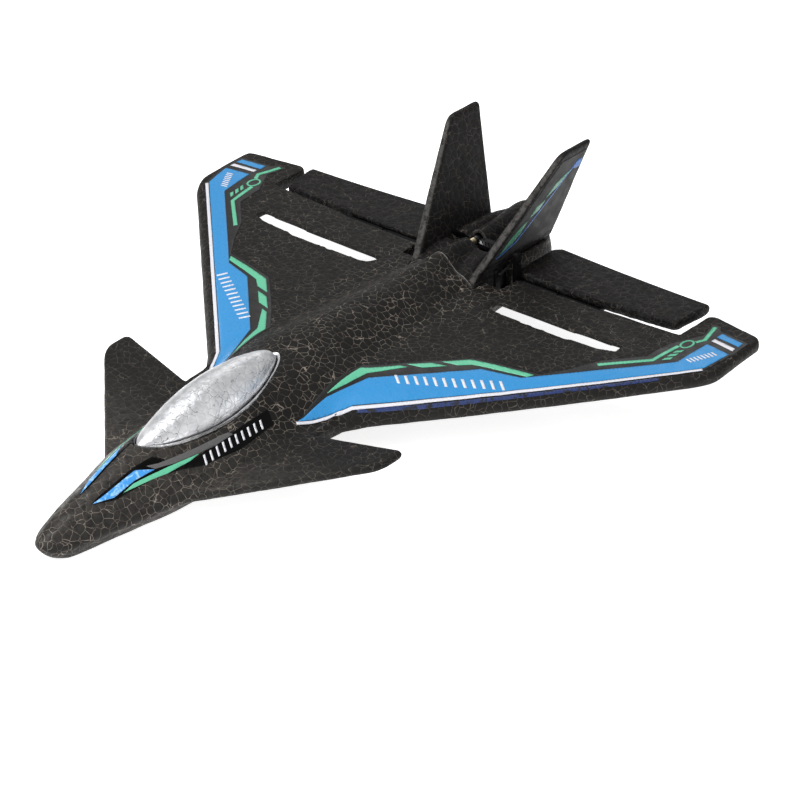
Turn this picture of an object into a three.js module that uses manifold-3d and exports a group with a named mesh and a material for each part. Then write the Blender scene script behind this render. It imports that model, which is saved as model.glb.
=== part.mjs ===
// Foam stunt jet, a small radio-controlled delta with canards, twin canted fins and a pusher propeller.
// Millimetres, +Z up, nose toward -Y, +X the aircraft's left. The origin is under the middle of the
// length, on the surface that the flat belly rests on.

import * as THREE from "three";
import { mergeVertices } from "three/addons/utils/BufferGeometryUtils.js";
import Module from "manifold-3d";

const wasm = await Module();
wasm.setup();

// ---------------------------------------------------------------- driving dimensions

const LENGTH = 326;
const SEMI_SPAN = 150;
const NOSE = -LENGTH / 2;
const TAIL = LENGTH / 2;
const GAP = 0.3; // between pieces that touch

// Wing
const WING_TOP = 27; // height of the wing's top face at the root
const WING_THICKNESS = 6.3;
const WING_SAG = -0.024; // slope of the top face at the root
const WING_RISE = 0.00034; // upward bend towards the tips, per mm
const WING_REAR = 114.3; // the straight trailing edge in front of the elevons
const TIP_NOTCH_X = 117.6; // inner side of the tip block behind the trailing edge
const EDGE_RADIUS = 3.2;

// Slots through the wing, with the thinned web around them
const SLOT = { inner: 33.5, outer: 103.5, front: 81.8, rear: 90.2 };
const WEB_THICKNESS = 2;

// Elevons
const ELEVON_THICKNESS = 5;
const ELEVON_FRONT = 116.9;
const HINGE_Y = 115.8;
const HINGE_Z = 23.6;

// The left elevon's foam is warped: it stands up by `root` at the hinge's inner end, and outboard of
// that it rises by `slope`, with `twist` more for each mm behind the hinge
const WARP = { x: 28, root: 0.9, slope: 0.021, twist: 0.0006 };

// Tail unit, seated in the airframe behind the seam
const SEAM_Y = 92.8;
const SEAT_Z = 14.5;
const SEAT_X = 18.8;
const PROP_Y = 119;
const PROP_Z = 34.6;
const PROP_RADIUS = 14.4;
const PROP_SLOT = { front: 113, rear: 121.3, halfWidth: 15.2, floor: 16.6 };
const FIN_THICKNESS = 4.5;

// Canopy, on a deck that dips in the middle and rises to the rear
const CANOPY = { front: -104.5, length: 84.5, halfWidth: 11.8, widest: 0.45 };
const RIM_WIDTH = 1.5;

// Electronics bay, open at the belly under its cover
const BAY = { halfWidth: 11.5, front: -62, rear: 78, roof: 21 };
const COVER = { halfWidth: 14, front: -68, rear: 84, bottom: 0.2, thickness: 1.4 };

// Elevon hinge: a rail on the wing and a carrier in the elevon, on one pin
const RAIL = { inner: 24.9, outer: 76, front: 112.7, rear: 113.5, low: 21.5, high: 25.5 };
const LUGS = [
  [28.1, 30],
  [50, 52],
  [73.6, 75.4],
];
const LUG_RADIUS = 1.05;
const TUBES = [
  [27, 27.8],
  [30.3, 49.5],
  [52.5, 73],
];
const TUBE_RADIUS = 1.5;
const PIN_RADIUS = 0.6;
const TONGUE = { inner: 26.9, outer: 72.8, rear: 121, half: 0.6 };

// Linkage: a short rod between equal arms on the servo and on the elevon
const ARM_RADIUS = 9.5;
const SERVO_Y = 106.5;
const SERVO_Z = 20.5;
const ARM = { inner: 21.4, outer: 22.9, half: 1.8, shaft: 1, shaftStart: 15.8 };
const HORN = { inner: 25.3, outer: 27.3, half: 1.9, reach: 12.9 };
const ROD_X = 24.1;
const ROD_RADIUS = 0.6;
const ROD_HOLE = 0.9;

const SERVO = { inner: 7.4, outer: 17, front: 98.6, rear: 112.4, low: 15, high: 25.4 };

// Drive: a coreless motor in a sleeve, turning a small two-blade propeller
const MOTOR = { radius: 2.4, front: 97, rear: 111.8 };
const SLEEVE = { inner: 2.7, outer: 2.95 };
const MOTOR_BORE = 3.2;
const SHAFT = { radius: 0.5, front: 109, rear: 121 };
const SHAFT_BORE = 0.8;
const PROP_HUB = { radius: 2.2, front: 117.5, rear: 120.6 };
const COLLAR = { radius: 2.2, front: 114.6, rear: 117.2 };

// Parts in the bay, from the nose back; the slider is drawn at the front end of its travel
const SOCKET = { front: -52, rear: -46, half: 3, low: 0.4, high: 6.9, wall: 0.8 };
const BATTERY = { front: -32, rear: -2, half: 7, low: 2, high: 10 };
const LENS = { y: 12, radius: 1.2, low: 0.4, high: 4 };
const SWITCH = { front: 34, rear: 46, half: 3.2, low: 2, high: 6.5, wall: 1.1 };
const SLIDER = { front: 37.3, rear: 40.2, half: 1.7, travel: 2.5 };
const BOARD = { front: 2, rear: 32, half: 9, low: 19.4, high: 20.6 };
const SCREW = { head: 2, headHigh: 0.85, shank: 1, high: 8 };

// ---------------------------------------------------------------- materials

const finish = (color, roughness, metalness = 0) =>
  new THREE.MeshStandardMaterial({ color, roughness, metalness });
const MATERIALS = {
  foam: finish(0x2a2826, 0.7),
  foil: finish(0xc4c6ca, 0.3, 0.9),
  gloss: finish(0x0c0c0e, 0.2),
  matte: finish(0x1a1b1e, 0.55),
  steel: finish(0xb8babd, 0.25, 1),
  brass: finish(0xc9b27a, 0.3, 1),
  board: finish(0x14532d, 0.5),
  pouch: finish(0x9aa0a8, 0.45, 0.3),
  lens: finish(0xd8e4f0, 0.15),
};

const jet = new THREE.Group();

function add(name, geometry, material, parent = jet) {
  const mesh = new THREE.Mesh(geometry, MATERIALS[material]);
  mesh.name = name;
  parent.add(mesh);
  return mesh;
}

// ---------------------------------------------------------------- solids

function solid(geometry) {
  const bare = geometry.clone();
  bare.deleteAttribute("normal");
  bare.deleteAttribute("uv");
  const merged = mergeVertices(bare, 1e-4);
  return new wasm.Manifold(
    new wasm.Mesh({
      numProp: 3,
      vertProperties: new Float32Array(merged.attributes.position.array),
      triVerts: new Uint32Array(merged.index.array),
    }),
  );
}

function geometryOf(manifold) {
  const { numProp, vertProperties, triVerts } = manifold.getMesh();
  const positions = new Float32Array((vertProperties.length / numProp) * 3);
  for (let i = 0; i < positions.length / 3; i++)
    positions.set(vertProperties.subarray(i * numProp, i * numProp + 3), i * 3);
  const geometry = new THREE.BufferGeometry();
  geometry.setAttribute("position", new THREE.BufferAttribute(positions, 3));
  geometry.setIndex(new THREE.BufferAttribute(triVerts, 1));
  geometry.computeVertexNormals();
  return geometry;
}

function block([x0, x1], [y0, y1], [z0, z1]) {
  const box = new THREE.BoxGeometry(x1 - x0, y1 - y0, z1 - z0);
  return solid(box.translate((x0 + x1) / 2, (y0 + y1) / 2, (z0 + z1) / 2));
}

// A round bar from one point to another, given by its radius.
function bar(from, to, radius, sides = 16) {
  const start = new THREE.Vector3(...from);
  const along = new THREE.Vector3(...to).sub(start);
  const round = new THREE.CylinderGeometry(radius, radius, along.length(), sides);
  const turn = new THREE.Quaternion().setFromUnitVectors(
    new THREE.Vector3(0, 1, 0),
    along.clone().normalize(),
  );
  const middle = start.addScaledVector(along, 0.5);
  return solid(round.applyQuaternion(turn).translate(middle.x, middle.y, middle.z));
}

const join = (...solids) => solids.reduce((sum, next) => sum.add(next));
const cut = (body, ...tools) => tools.reduce((left, tool) => left.subtract(tool), body);
const mirrored = (geometry) => {
  const copy = geometry.clone();
  copy.scale(-1, 1, 1);
  const index = copy.index.array;
  for (let i = 0; i < index.length; i += 3) [index[i + 1], index[i + 2]] = [index[i + 2], index[i + 1]];
  return copy;
};

// ---------------------------------------------------------------- curves

const smooth = (from, to, value) => {
  const t = Math.min(1, Math.max(0, (value - from) / (to - from)));
  return t * t * (3 - 2 * t);
};

// A smooth function through [position, value] points that never overshoots them.
function through(points) {
  const slopes = points.slice(1).map(([x, v], i) => (v - points[i][1]) / (x - points[i][0]));
  const tangents = points.map((_, i) => {
    if (i === 0) return slopes[0];
    if (i === points.length - 1) return slopes[i - 1];
    const [a, b] = [slopes[i - 1], slopes[i]];
    return a * b <= 0 ? 0 : (2 * a * b) / (a + b);
  });
  return (x) => {
    if (x <= points[0][0]) return points[0][1];
    if (x >= points.at(-1)[0]) return points.at(-1)[1];
    const i = points.findIndex((point) => point[0] > x) - 1;
    const width = points[i + 1][0] - points[i][0];
    const t = (x - points[i][0]) / width;
    const bend = t * (1 - t) * width;
    const ease = t * t * (3 - 2 * t);
    const ends = points[i][1] * (1 - ease) + points[i + 1][1] * ease;
    return ends + bend * (tangents[i] * (1 - t) - tangents[i + 1] * t);
  };
}

// How far a corner of this radius, which ends at `end`, pulls an edge in at x.
function cornerInset(x, end, radius) {
  const reach = Math.min(1, Math.max(0, (radius - Math.abs(end - x)) / radius));
  return radius * (1 - Math.sqrt(1 - reach * reach));
}

// Even steps from each stop to the next, given as [stop, steps to reach it].
function stops(first, ...legs) {
  const values = [first];
  for (const [to, steps] of legs) {
    const from = values.at(-1);
    for (let i = 1; i <= steps; i++) values.push(from + ((to - from) * i) / steps);
  }
  return values;
}

// ---------------------------------------------------------------- moulded foam plates

const EDGE_STEPS = 3;
const FLATNESS = 0.06; // triangles flatter than this are merged

// A foam moulding over a plan that runs from front(x) to rear(x) at each x in `columns`, between the
// heights top(x, y) and bottom(x, y), with round edges. An end of `columns` closes to a round tip
// where `tips` says so, and otherwise stays a flat cut. The front's rounding reaches further back where
// the front is swept, up to maxLean(x) times its radius.
function plate({
  columns,
  front,
  rear,
  top,
  bottom,
  radius,
  rearRadius = radius,
  maxLean,
  steps,
  tips,
  endRadius = 3,
}) {
  const ring = (x, endFactor) => {
    const chord = rear(x) - front(x);
    const sweep = (front(x + 0.05) - front(x - 0.05)) / 0.1;
    const lean = Math.min(maxLean(x), Math.hypot(1, sweep));
    const lead = Math.min(radius(x) * lean, chord * 0.35);
    const trail = Math.min(rearRadius(x), chord * 0.35);
    const stations = [];
    for (let k = 0; k <= EDGE_STEPS; k++) {
      const angle = (k / EDGE_STEPS) * (Math.PI / 2);
      stations.push([front(x) + lead * (1 - Math.cos(angle)), Math.sin(angle)]);
    }
    for (let k = 1; k < steps; k++)
      stations.push([front(x) + lead + ((chord - lead - trail) * k) / steps, 1]);
    for (let k = EDGE_STEPS; k >= 0; k--) {
      const angle = (k / EDGE_STEPS) * (Math.PI / 2);
      stations.push([rear(x) - trail * (1 - Math.cos(angle)), Math.sin(angle)]);
    }
    const heights = stations.map(([y, factor]) => {
      const [high, low] = [top(x, y), bottom(x, y)];
      const half = ((high - low) / 2) * factor * endFactor;
      return [y, (high + low) / 2, half];
    });
    const upper = heights.map(([y, middle, half]) => [x, y, middle + half]);
    const lower = heights.slice(1, -1).map(([y, middle, half]) => [x, y, middle - half]);
    return [...upper, ...lower.reverse()];
  };
  const last = columns.length - 1;
  const rings = columns.map((x, i) => {
    const inLow = tips[0] ? Math.min(1, (x - columns[0]) / endRadius) : 1;
    const inHigh = tips[1] ? Math.min(1, (columns[last] - x) / endRadius) : 1;
    const inside = Math.min(inLow, inHigh);
    return ring(x, Math.sqrt(1 - (1 - inside) ** 2));
  });
  return stitched(rings);
}

// A closed surface over rings of the same number of points, with a flat fan over each end ring.
function stitched(rings) {
  const count = rings[0].length;
  const positions = rings.flat(2);
  const faces = [];
  for (let i = 0; i + 1 < rings.length; i++)
    for (let j = 0; j < count; j++) {
      const a = i * count + j;
      const b = i * count + ((j + 1) % count);
      faces.push(a, b, b + count, a, b + count, a + count);
    }
  const base = (rings.length - 1) * count;
  const half = count / 2;
  for (let j = 0; j < half; j++) {
    // rungs between the upper and the lower side of the ring
    const [a, b] = [j, j + 1];
    const [c, d] = [(count - j) % count, (count - j - 1) % count];
    if (j > 0) faces.push(a, c, b);
    if (b !== d) faces.push(b, c, d);
    if (j > 0) faces.push(base + a, base + b, base + c);
    if (b !== d) faces.push(base + b, base + d, base + c);
  }
  const geometry = new THREE.BufferGeometry();
  geometry.setAttribute("position", new THREE.Float32BufferAttribute(positions, 3));
  geometry.setIndex(faces);
  const made = solid(geometry);
  if (made.volume() > 0) return made;
  for (let i = 0; i < faces.length; i += 3) [faces[i + 1], faces[i + 2]] = [faces[i + 2], faces[i + 1]];
  geometry.setIndex(faces);
  return solid(geometry);
}

// ---------------------------------------------------------------- the airframe's surfaces

const wingTop = (x) => WING_TOP + WING_SAG * Math.abs(x) + WING_RISE * x * x;

// The top face droops towards the leading edge, less and less towards the tips
const EDGE_LINE = { x: 45, y: -14.2, slope: 1.018 };
const DROOP_REACH = 26;
const edgeLine = (x) => EDGE_LINE.y + EDGE_LINE.slope * (Math.abs(x) - EDGE_LINE.x);

function droop(x, y) {
  const behind = Math.max(0, (y - edgeLine(x)) / Math.hypot(1, EDGE_LINE.slope));
  const depth = 9.6 - 0.0733 * (Math.abs(x) - EDGE_LINE.x);
  return depth * Math.max(0, 1 - behind / DROOP_REACH) ** 2;
}

// How much lower the shoulder lies from the canards forward
const noseDrop = through([
  [NOSE, 5.5],
  [-98, 2.5],
  [-45, 0],
]);
const shoulder = (x, y) => wingTop(x) - droop(x, y) - noseDrop(y);

const crest = through([
  [NOSE, 11.4],
  [-150, 16.4],
  [-133, 22.4],
  [-107, 29.4],
  [-75, 32],
  [-45, 33.4],
  [-20, 34.4],
  [-3, 37.4],
  [16, 38.1],
  [40, 37.7],
  [64, 37.4],
  [SEAM_Y, 38.5],
  [101, 39.4],
  [110, 39],
  [113, 38.6],
  [121, 39.1],
  [140, 39.8],
  [152, 40.6],
  [158, 40.2],
  [TAIL, 36],
]);
const ridgeHalfWidth = through([
  [NOSE, 13],
  [-133, 20],
  [-100, 30],
  [-60, 36],
  [-10, 34],
  [40, 27],
  [93, 23],
]);
const ridge = (x, halfWidth) =>
  Math.abs(x) < halfWidth ? Math.cos(((x / halfWidth) * Math.PI) / 2) ** 2 : 0;

// Between the fins a narrow tube runs over a raised saddle, with a lobe beside each fin behind the propeller
const saddleHeight = through([
  [60, 30],
  [SEAM_Y, 30.9],
  [113, 34.9],
  [146, 34.5],
  [TAIL, 30],
]);
const tubeHalfWidth = through([
  [60, 22],
  [SEAM_Y, 12],
  [104, 7.5],
  [138, 8],
  [156, 14],
]);

function tailTop(x, y) {
  const base = shoulder(x, y);
  const saddle = (saddleHeight(y) - base) * (1 - smooth(11.5, 19.5, Math.abs(x)));
  const valley = 2.4 * ridge(Math.abs(x) - 7, 3.8) * smooth(116, 121, y) * (1 - smooth(144, 158, y));
  const tube = (crest(y) - saddleHeight(y)) * ridge(x, tubeHalfWidth(y));
  return base + saddle - valley + tube;
}

// The shoulder stands up beside the tail unit
const tailBlock = (x, y) =>
  4.5 * (1 - smooth(22.4, 23.8, Math.abs(x))) * smooth(114, 118, y) * (1 - smooth(146, 154, y));

function bodyTop(x, y) {
  const base = shoulder(x, y);
  const spine = base + (crest(y) - base) * ridge(x, ridgeHalfWidth(y));
  const share = smooth(62, SEAM_Y - 2, y);
  return spine * (1 - share) + tailTop(x, y) * share + tailBlock(x, y);
}

const belly = through([
  [NOSE, 4.5],
  [-158, 1.6],
  [-150, 0],
  [60, 0],
  [86, 0.1],
  [98, 9.5],
  [108, 12],
  [TAIL, 12.2],
]);
const bellyHalfWidth = through([
  [NOSE, 6],
  [-150, 10.6],
  [-136.7, 13.8],
  [-118.7, 18.8],
  [-100, 23.6],
  [-40, 29],
  [60, 29],
  [95, 36],
  [118, 36],
  [136, 27],
  [TAIL, 25],
]);
const slotWeb = (x, y) =>
  smooth(25, 35, Math.abs(x)) *
  (1 - smooth(102, 114, Math.abs(x))) *
  smooth(69, 79, y) *
  (1 - smooth(94, 104, y));

function bodyBottom(x, y) {
  const thickness = WING_THICKNESS - (WING_THICKNESS - WEB_THICKNESS) * slotWeb(x, y);
  const under = shoulder(x, y) - thickness;
  const reach = Math.abs(x) / bellyHalfWidth(y);
  return under + (belly(y) - under) * (1 - smooth(0.52, 1, reach));
}

// Plan of the body and wings: the leading edge runs back from the nose to the tips
const leadingEdge = through([
  [0, NOSE],
  [3, NOSE + 0.9],
  [6, NOSE + 3.6],
  [8.6, NOSE + 8],
  [10.6, -149.5],
  [13.8, -136.7],
  [18.8, -118.7],
  [23.2, -100.7],
  [37, -41],
  [38, -24],
  [40.5, -20.2],
  [46, edgeLine(46)],
]);
const bodyFront = (x) =>
  Math.max(leadingEdge(Math.abs(x)), Math.abs(x) > 45 ? edgeLine(x) : NOSE) +
  cornerInset(Math.abs(x), SEMI_SPAN, 7);

const TAIL_HALF_WIDTH = 22.6;
const tailPlan = through([
  [0, TAIL],
  [6, TAIL - 0.6],
  [11, TAIL - 3],
  [15, TAIL - 6],
  [18, TAIL - 9.5],
  [20, TAIL - 12.5],
  [21.2, TAIL - 17],
  [TAIL_HALF_WIDTH, WING_REAR + 2],
]);
const TIP_REAR = { inner: 138.5, outer: 130 };

function bodyRear(x) {
  const out = Math.abs(x);
  if (out < TAIL_HALF_WIDTH + 0.1) return tailPlan(out);
  if (out < TIP_NOTCH_X) return WING_REAR;
  const share = (out - TIP_NOTCH_X) / (SEMI_SPAN - TIP_NOTCH_X);
  const line = TIP_REAR.inner + (TIP_REAR.outer - TIP_REAR.inner) * share;
  return line - cornerInset(out, SEMI_SPAN, 5) - cornerInset(out, TIP_NOTCH_X, 5);
}

const HALF_COLUMNS = [
  ...stops(0, [12, 8], [TAIL_HALF_WIDTH, 6]),
  ...stops(TAIL_HALF_WIDTH + 0.2, [37, 3], [41, 3], [62, 4], [TIP_NOTCH_X - 0.1, 6]),
  ...stops(TIP_NOTCH_X + 0.1, [TIP_NOTCH_X + 5, 3], [142, 2], [SEMI_SPAN - 3, 2], [SEMI_SPAN, 3]),
];
const BODY_COLUMNS = [...HALF_COLUMNS.slice(1).reverse().map((x) => -x), ...HALF_COLUMNS];

const bodyBetween = (top) =>
  plate({
    columns: BODY_COLUMNS,
    front: bodyFront,
    rear: bodyRear,
    top,
    bottom: bodyBottom,
    radius: (x) => (Math.abs(x) < 38 ? 6.5 : EDGE_RADIUS),
    rearRadius: (x) => (Math.abs(x) < TAIL_HALF_WIDTH + 0.1 ? 5 : 1.4),
    maxLean: (x) => (Math.abs(x) < 36 ? 5 : 1.5),
    steps: 14,
    tips: [true, true],
  });

// ---------------------------------------------------------------- canards

const CANARD = { tip: 79.5, rootFront: [26, -98.6], tipFront: -43.5, rootRear: [37.6, -37.3], tipRear: -28.5 };

function canard() {
  const slope = (a, b, x0, x1) => (b - a) / (x1 - x0);
  const [frontX, frontY] = CANARD.rootFront;
  const [rearX, rearY] = CANARD.rootRear;
  const sweep = slope(frontY, CANARD.tipFront, frontX, CANARD.tip);
  const trail = slope(rearY, CANARD.tipRear, rearX, CANARD.tip);
  const middle = (x, y) => 11 + 0.11 * (x - frontX) + 0.045 * (y - frontY);
  const half = (x) => 2.6 - 0.9 * smooth(30, CANARD.tip, x);
  return plate({
    columns: stops(18, [70, 7], [CANARD.tip - 3, 3], [CANARD.tip, 4]),
    front: (x) => frontY + sweep * (x - frontX) + cornerInset(x, CANARD.tip, 5),
    rear: (x) => rearY + trail * (x - rearX) - cornerInset(x, CANARD.tip, 4),
    top: (x, y) => middle(x, y) + half(x),
    bottom: (x, y) => middle(x, y) - half(x),
    radius: () => 2,
    maxLean: () => 2,
    steps: 6,
    tips: [false, true],
  });
}

// ---------------------------------------------------------------- foam airframe

const onBothSides = (left) => {
  const geometry = geometryOf(left);
  return [left, solid(mirrored(geometry))];
};

// The recess beside the fin's foot where the servo's arm and the elevon's horn swing
const LINK_RECESS = block([SEAT_X - 0.5, 28.6], [101, WING_REAR + 2], [18.3, 40]);
const HINGE_REBATE = block([RAIL.inner - GAP, RAIL.outer + GAP], [RAIL.front - GAP, WING_REAR + 2], [18, 40]);
const SHAFT_HOLE = bar([10, SERVO_Y, SERVO_Z], [22, SERVO_Y, SERVO_Z], 1.6);

const tailSeat = (gap) =>
  block([-SEAT_X - gap, SEAT_X + gap], [SEAM_Y - gap, TAIL + 5], [SEAT_Z - gap, 60]);

// Half-width of the teardrop at a share t of its length: blunt in front, drawn out behind
function canopyHalfWidth(t) {
  if (t < CANOPY.widest) return CANOPY.halfWidth * Math.sin((Math.PI / 2) * (t / CANOPY.widest)) ** 0.55;
  const back = (t - CANOPY.widest) / (1 - CANOPY.widest);
  return CANOPY.halfWidth * Math.max(0, 1 - back * back) ** 0.62;
}

const deck = through([
  [-104.5, 28.6],
  [-88, 27.6],
  [-66, 27.2],
  [-52, 28.2],
  [-40, 30],
  [-28, 32.8],
  [-20, 34.2],
]);
const canopyTop = through([
  [-104.5, 28.9],
  [-102, 30.3],
  [-97, 32.2],
  [-90, 34.5],
  [-80, 38],
  [-67, 41.3],
  [-55, 42.6],
  [-43, 42.4],
  [-32, 41],
  [-24, 38.6],
  [-20, 34.3],
]);

// A slab over the canopy's plan, grown by `offset`, between two heights above the deck
function deckSlab(offset, low, high) {
  const sections = 22;
  const centre = CANOPY.front + CANOPY.length * CANOPY.widest;
  const rings = [];
  for (let i = 0; i <= sections; i++) {
    const t = (1 - Math.cos((Math.PI * i) / sections)) / 2;
    const across = canopyHalfWidth(t) * (1 + offset / CANOPY.halfWidth);
    const away = CANOPY.front + CANOPY.length * t - centre;
    const y = centre + away * (1 + (2 * offset) / CANOPY.length);
    const [top, bottom] = [deck(y) + high, deck(y) + low];
    rings.push([[-across, y, top], [across, y, top], [across, y, bottom], [-across, y, bottom]]);
  }
  return stitched(rings);
}

const SCREWS = [
  [-COVER.halfWidth + 4.2, COVER.front + 3.2],
  [COVER.halfWidth - 4.2, COVER.front + 3.2],
  [-COVER.halfWidth + 4.2, COVER.rear - 3.2],
  [COVER.halfWidth - 4.2, COVER.rear - 3.2],
];

function airframe() {
  const [leftCanard, rightCanard] = onBothSides(canard());
  const shape = join(bodyBetween(bodyTop), leftCanard, rightCanard);
  const slot = solid(slotCutter());
  const tools = [slot, solid(mirrored(geometryOf(slot)))];
  tools.push(tailSeat(GAP));
  tools.push(deckSlab(RIM_WIDTH + GAP, -2.2, 30));
  tools.push(...onBothSides(join(LINK_RECESS, HINGE_REBATE)));
  tools.push(block([-BAY.halfWidth, BAY.halfWidth], [BAY.front, BAY.rear], [-5, BAY.roof]));
  const { halfWidth, front, rear, bottom, thickness } = COVER;
  tools.push(
    block([-halfWidth - GAP, halfWidth + GAP], [front - GAP, rear + GAP], [-5, bottom + thickness + GAP]),
  );
  for (const [x, y] of SCREWS) tools.push(bar([x, y, -1], [x, y, 9], 1.3, 12));
  return cut(shape, ...tools).simplify(FLATNESS);
}

// The wing slot: straight at the rear, bowed along the front, with a slanted inner end
function slotCutter() {
  const { inner, outer, front, rear } = SLOT;
  const outline = new THREE.Shape();
  outline.moveTo(inner - 1, rear);
  outline.lineTo(inner + 2, front + 2);
  outline.lineTo(inner + 6, front + 0.9);
  outline.lineTo(inner + 28, front);
  outline.lineTo(inner + 43, front - 0.2);
  outline.lineTo(inner + 61, front + 0.8);
  outline.lineTo(outer, front + 2.6);
  outline.lineTo(outer, rear);
  const cutter = new THREE.ExtrudeGeometry(outline, { depth: 20, bevelEnabled: false });
  return cutter.translate(0, 0, 15);
}

// ---------------------------------------------------------------- tail unit with the twin fins

const FIN = {
  foot: [16.35, 94.3, 28.5],
  rootRear: [16.8, 151.9, 33.8],
  tipFront: [32.2, 138.8, 80.1],
  tipRear: [33.1, 160.9, 80.6],
};

function fin() {
  const rise = FIN.tipFront[2] - FIN.foot[2];
  const lean = (FIN.tipFront[0] - FIN.foot[0]) / rise;
  const frontRake = (FIN.tipFront[1] - FIN.foot[1]) / rise;
  const rearRake = (FIN.tipRear[1] - FIN.rootRear[1]) / (FIN.tipRear[2] - FIN.rootRear[2]);
  const half = FIN_THICKNESS / 2;
  const heights = stops(20, [FIN.foot[2], 2], [72, 5], [FIN.tipFront[2] - 1.5, 2], [FIN.tipFront[2] + 0.4, 2]);
  const rings = heights.map((z) => {
    const up = z - FIN.foot[2];
    const near = cornerInset(z, FIN.tipFront[2] + 0.6, 4);
    const thin = half * (1 - 0.22 * smooth(0, rise, up)) * (z > FIN.tipFront[2] ? 0.45 : 1);
    const centre = FIN.foot[0] + lean * up;
    const front = Math.max(FIN.foot[1] + frontRake * up, FIN.foot[1] - 1) + near;
    const blunt = cornerInset(z, FIN.tipFront[2] + 0.6, 1.8);
    const rear = FIN.rootRear[1] + rearRake * (z - FIN.rootRear[2]) - blunt;
    const steps = [0, 0.5, 0.87, 1];
    const side = (way) => [
      ...steps.map((factor, k) => [centre + way * thin * factor, front + [0, 0.2, 0.7, 1.5][k], z]),
      [centre + way * thin, (front + rear) / 2, z],
      ...steps.toReversed().map((factor, k) => [centre + way * thin * factor, rear - [2, 0.9, 0.25, 0][k], z]),
    ];
    return [...side(1), ...side(-1).slice(1, -1).reverse()];
  });
  return stitched(rings);
}

function tailUnit() {
  const saddle = bodyBetween(tailTop).intersect(tailSeat(0));
  const tools = [];
  const { front, rear, halfWidth, floor } = PROP_SLOT;
  tools.push(block([-halfWidth, halfWidth], [front, rear], [floor, 60]));
  // motor bore, and the half-round mouth of the duct behind the propeller
  tools.push(bar([0, MOTOR.front - GAP, PROP_Z], [0, front + 1, PROP_Z], MOTOR_BORE));
  tools.push(bar([0, rear - 1, PROP_Z], [0, rear + 8, PROP_Z], 2.6));
  const pocket = join(
    block(
      [SERVO.inner - GAP, SERVO.outer + GAP],
      [SERVO.front - GAP, SERVO.rear + GAP],
      [5, SERVO.high + GAP],
    ),
    SHAFT_HOLE,
  );
  tools.push(...onBothSides(pocket));
  const [leftFin, rightFin] = onBothSides(
    fin().intersect(block([10, 60], [80, 170], [26, 90])),
  );
  const joined = join(saddle, leftFin, rightFin);
  // the fins overhang the seat, so their feet stop above the airframe's shoulder
  const shoulderClear = onBothSides(block([SEAT_X, 30], [80, TAIL], [10, 32.2]));
  return cut(joined, ...tools, ...shoulderClear).simplify(FLATNESS);
}

// ---------------------------------------------------------------- canopy and rim

const CANOPY_WALL = 1.2;

function canopy() {
  const sections = 14;
  const arc = 12;
  const dome = (inset, floor) => {
    const rings = [];
    for (let i = 0; i <= sections; i++) {
      const t = (1 - Math.cos((Math.PI * i) / sections)) / 2;
      const across = canopyHalfWidth(t) * (1 - inset / CANOPY.halfWidth);
      const y = CANOPY.front + CANOPY.length * t;
      const height = Math.max(0, canopyTop(y) - deck(y) - inset);
      const place = y + inset * (1 - 2 * t);
      const ring = [];
      for (let k = 0; k <= arc; k++) {
        const angle = (Math.PI * k) / arc;
        ring.push([-across * Math.cos(angle), place, deck(y) + height * Math.sin(angle)]);
      }
      const under = ring.slice(1, -1).map(([x]) => [x, place, deck(y) + floor]);
      rings.push([...ring, ...under.reverse()]);
    }
    return stitched(rings);
  };
  return cut(dome(0, -1), dome(CANOPY_WALL, -4)).simplify(FLATNESS / 2);
}

// ---------------------------------------------------------------- elevons and their hinges

// A flat link across X with round ends, between two points given as [y, z]
function link([x0, x1], from, to, radius) {
  const turn = Math.atan2(to[1] - from[1], to[0] - from[0]);
  const length = Math.hypot(to[0] - from[0], to[1] - from[1]);
  const outline = new THREE.Shape();
  outline.absarc(length, 0, radius, -Math.PI / 2, Math.PI / 2, false);
  outline.absarc(0, 0, radius, Math.PI / 2, (3 * Math.PI) / 2, false);
  const flat = new THREE.ExtrudeGeometry(outline, { depth: x1 - x0, bevelEnabled: false, curveSegments: 6 });
  flat.rotateZ(turn);
  const axes = [new THREE.Vector3(0, 1, 0), new THREE.Vector3(0, 0, 1), new THREE.Vector3(1, 0, 0)];
  flat.applyMatrix4(new THREE.Matrix4().makeBasis(...axes));
  return solid(flat.translate(x0, from[0], from[1]));
}

const alongHinge = ([x0, x1], radius) => bar([x0, HINGE_Y, HINGE_Z], [x1, HINGE_Y, HINGE_Z], radius, 14);

const ELEVON = { inner: 23.6, slant: 112.5, outer: 116, slantRear: 137, rearInner: 150.6, rearOuter: 139.6 };
const ELEVON_CHAMFER = 4; // off the inner rear corner

const liftOf = {
  left: (x, y) => WARP.root + (x - WARP.x) * (WARP.slope + WARP.twist * (y - ELEVON_FRONT)),
  right: () => 0,
};

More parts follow.
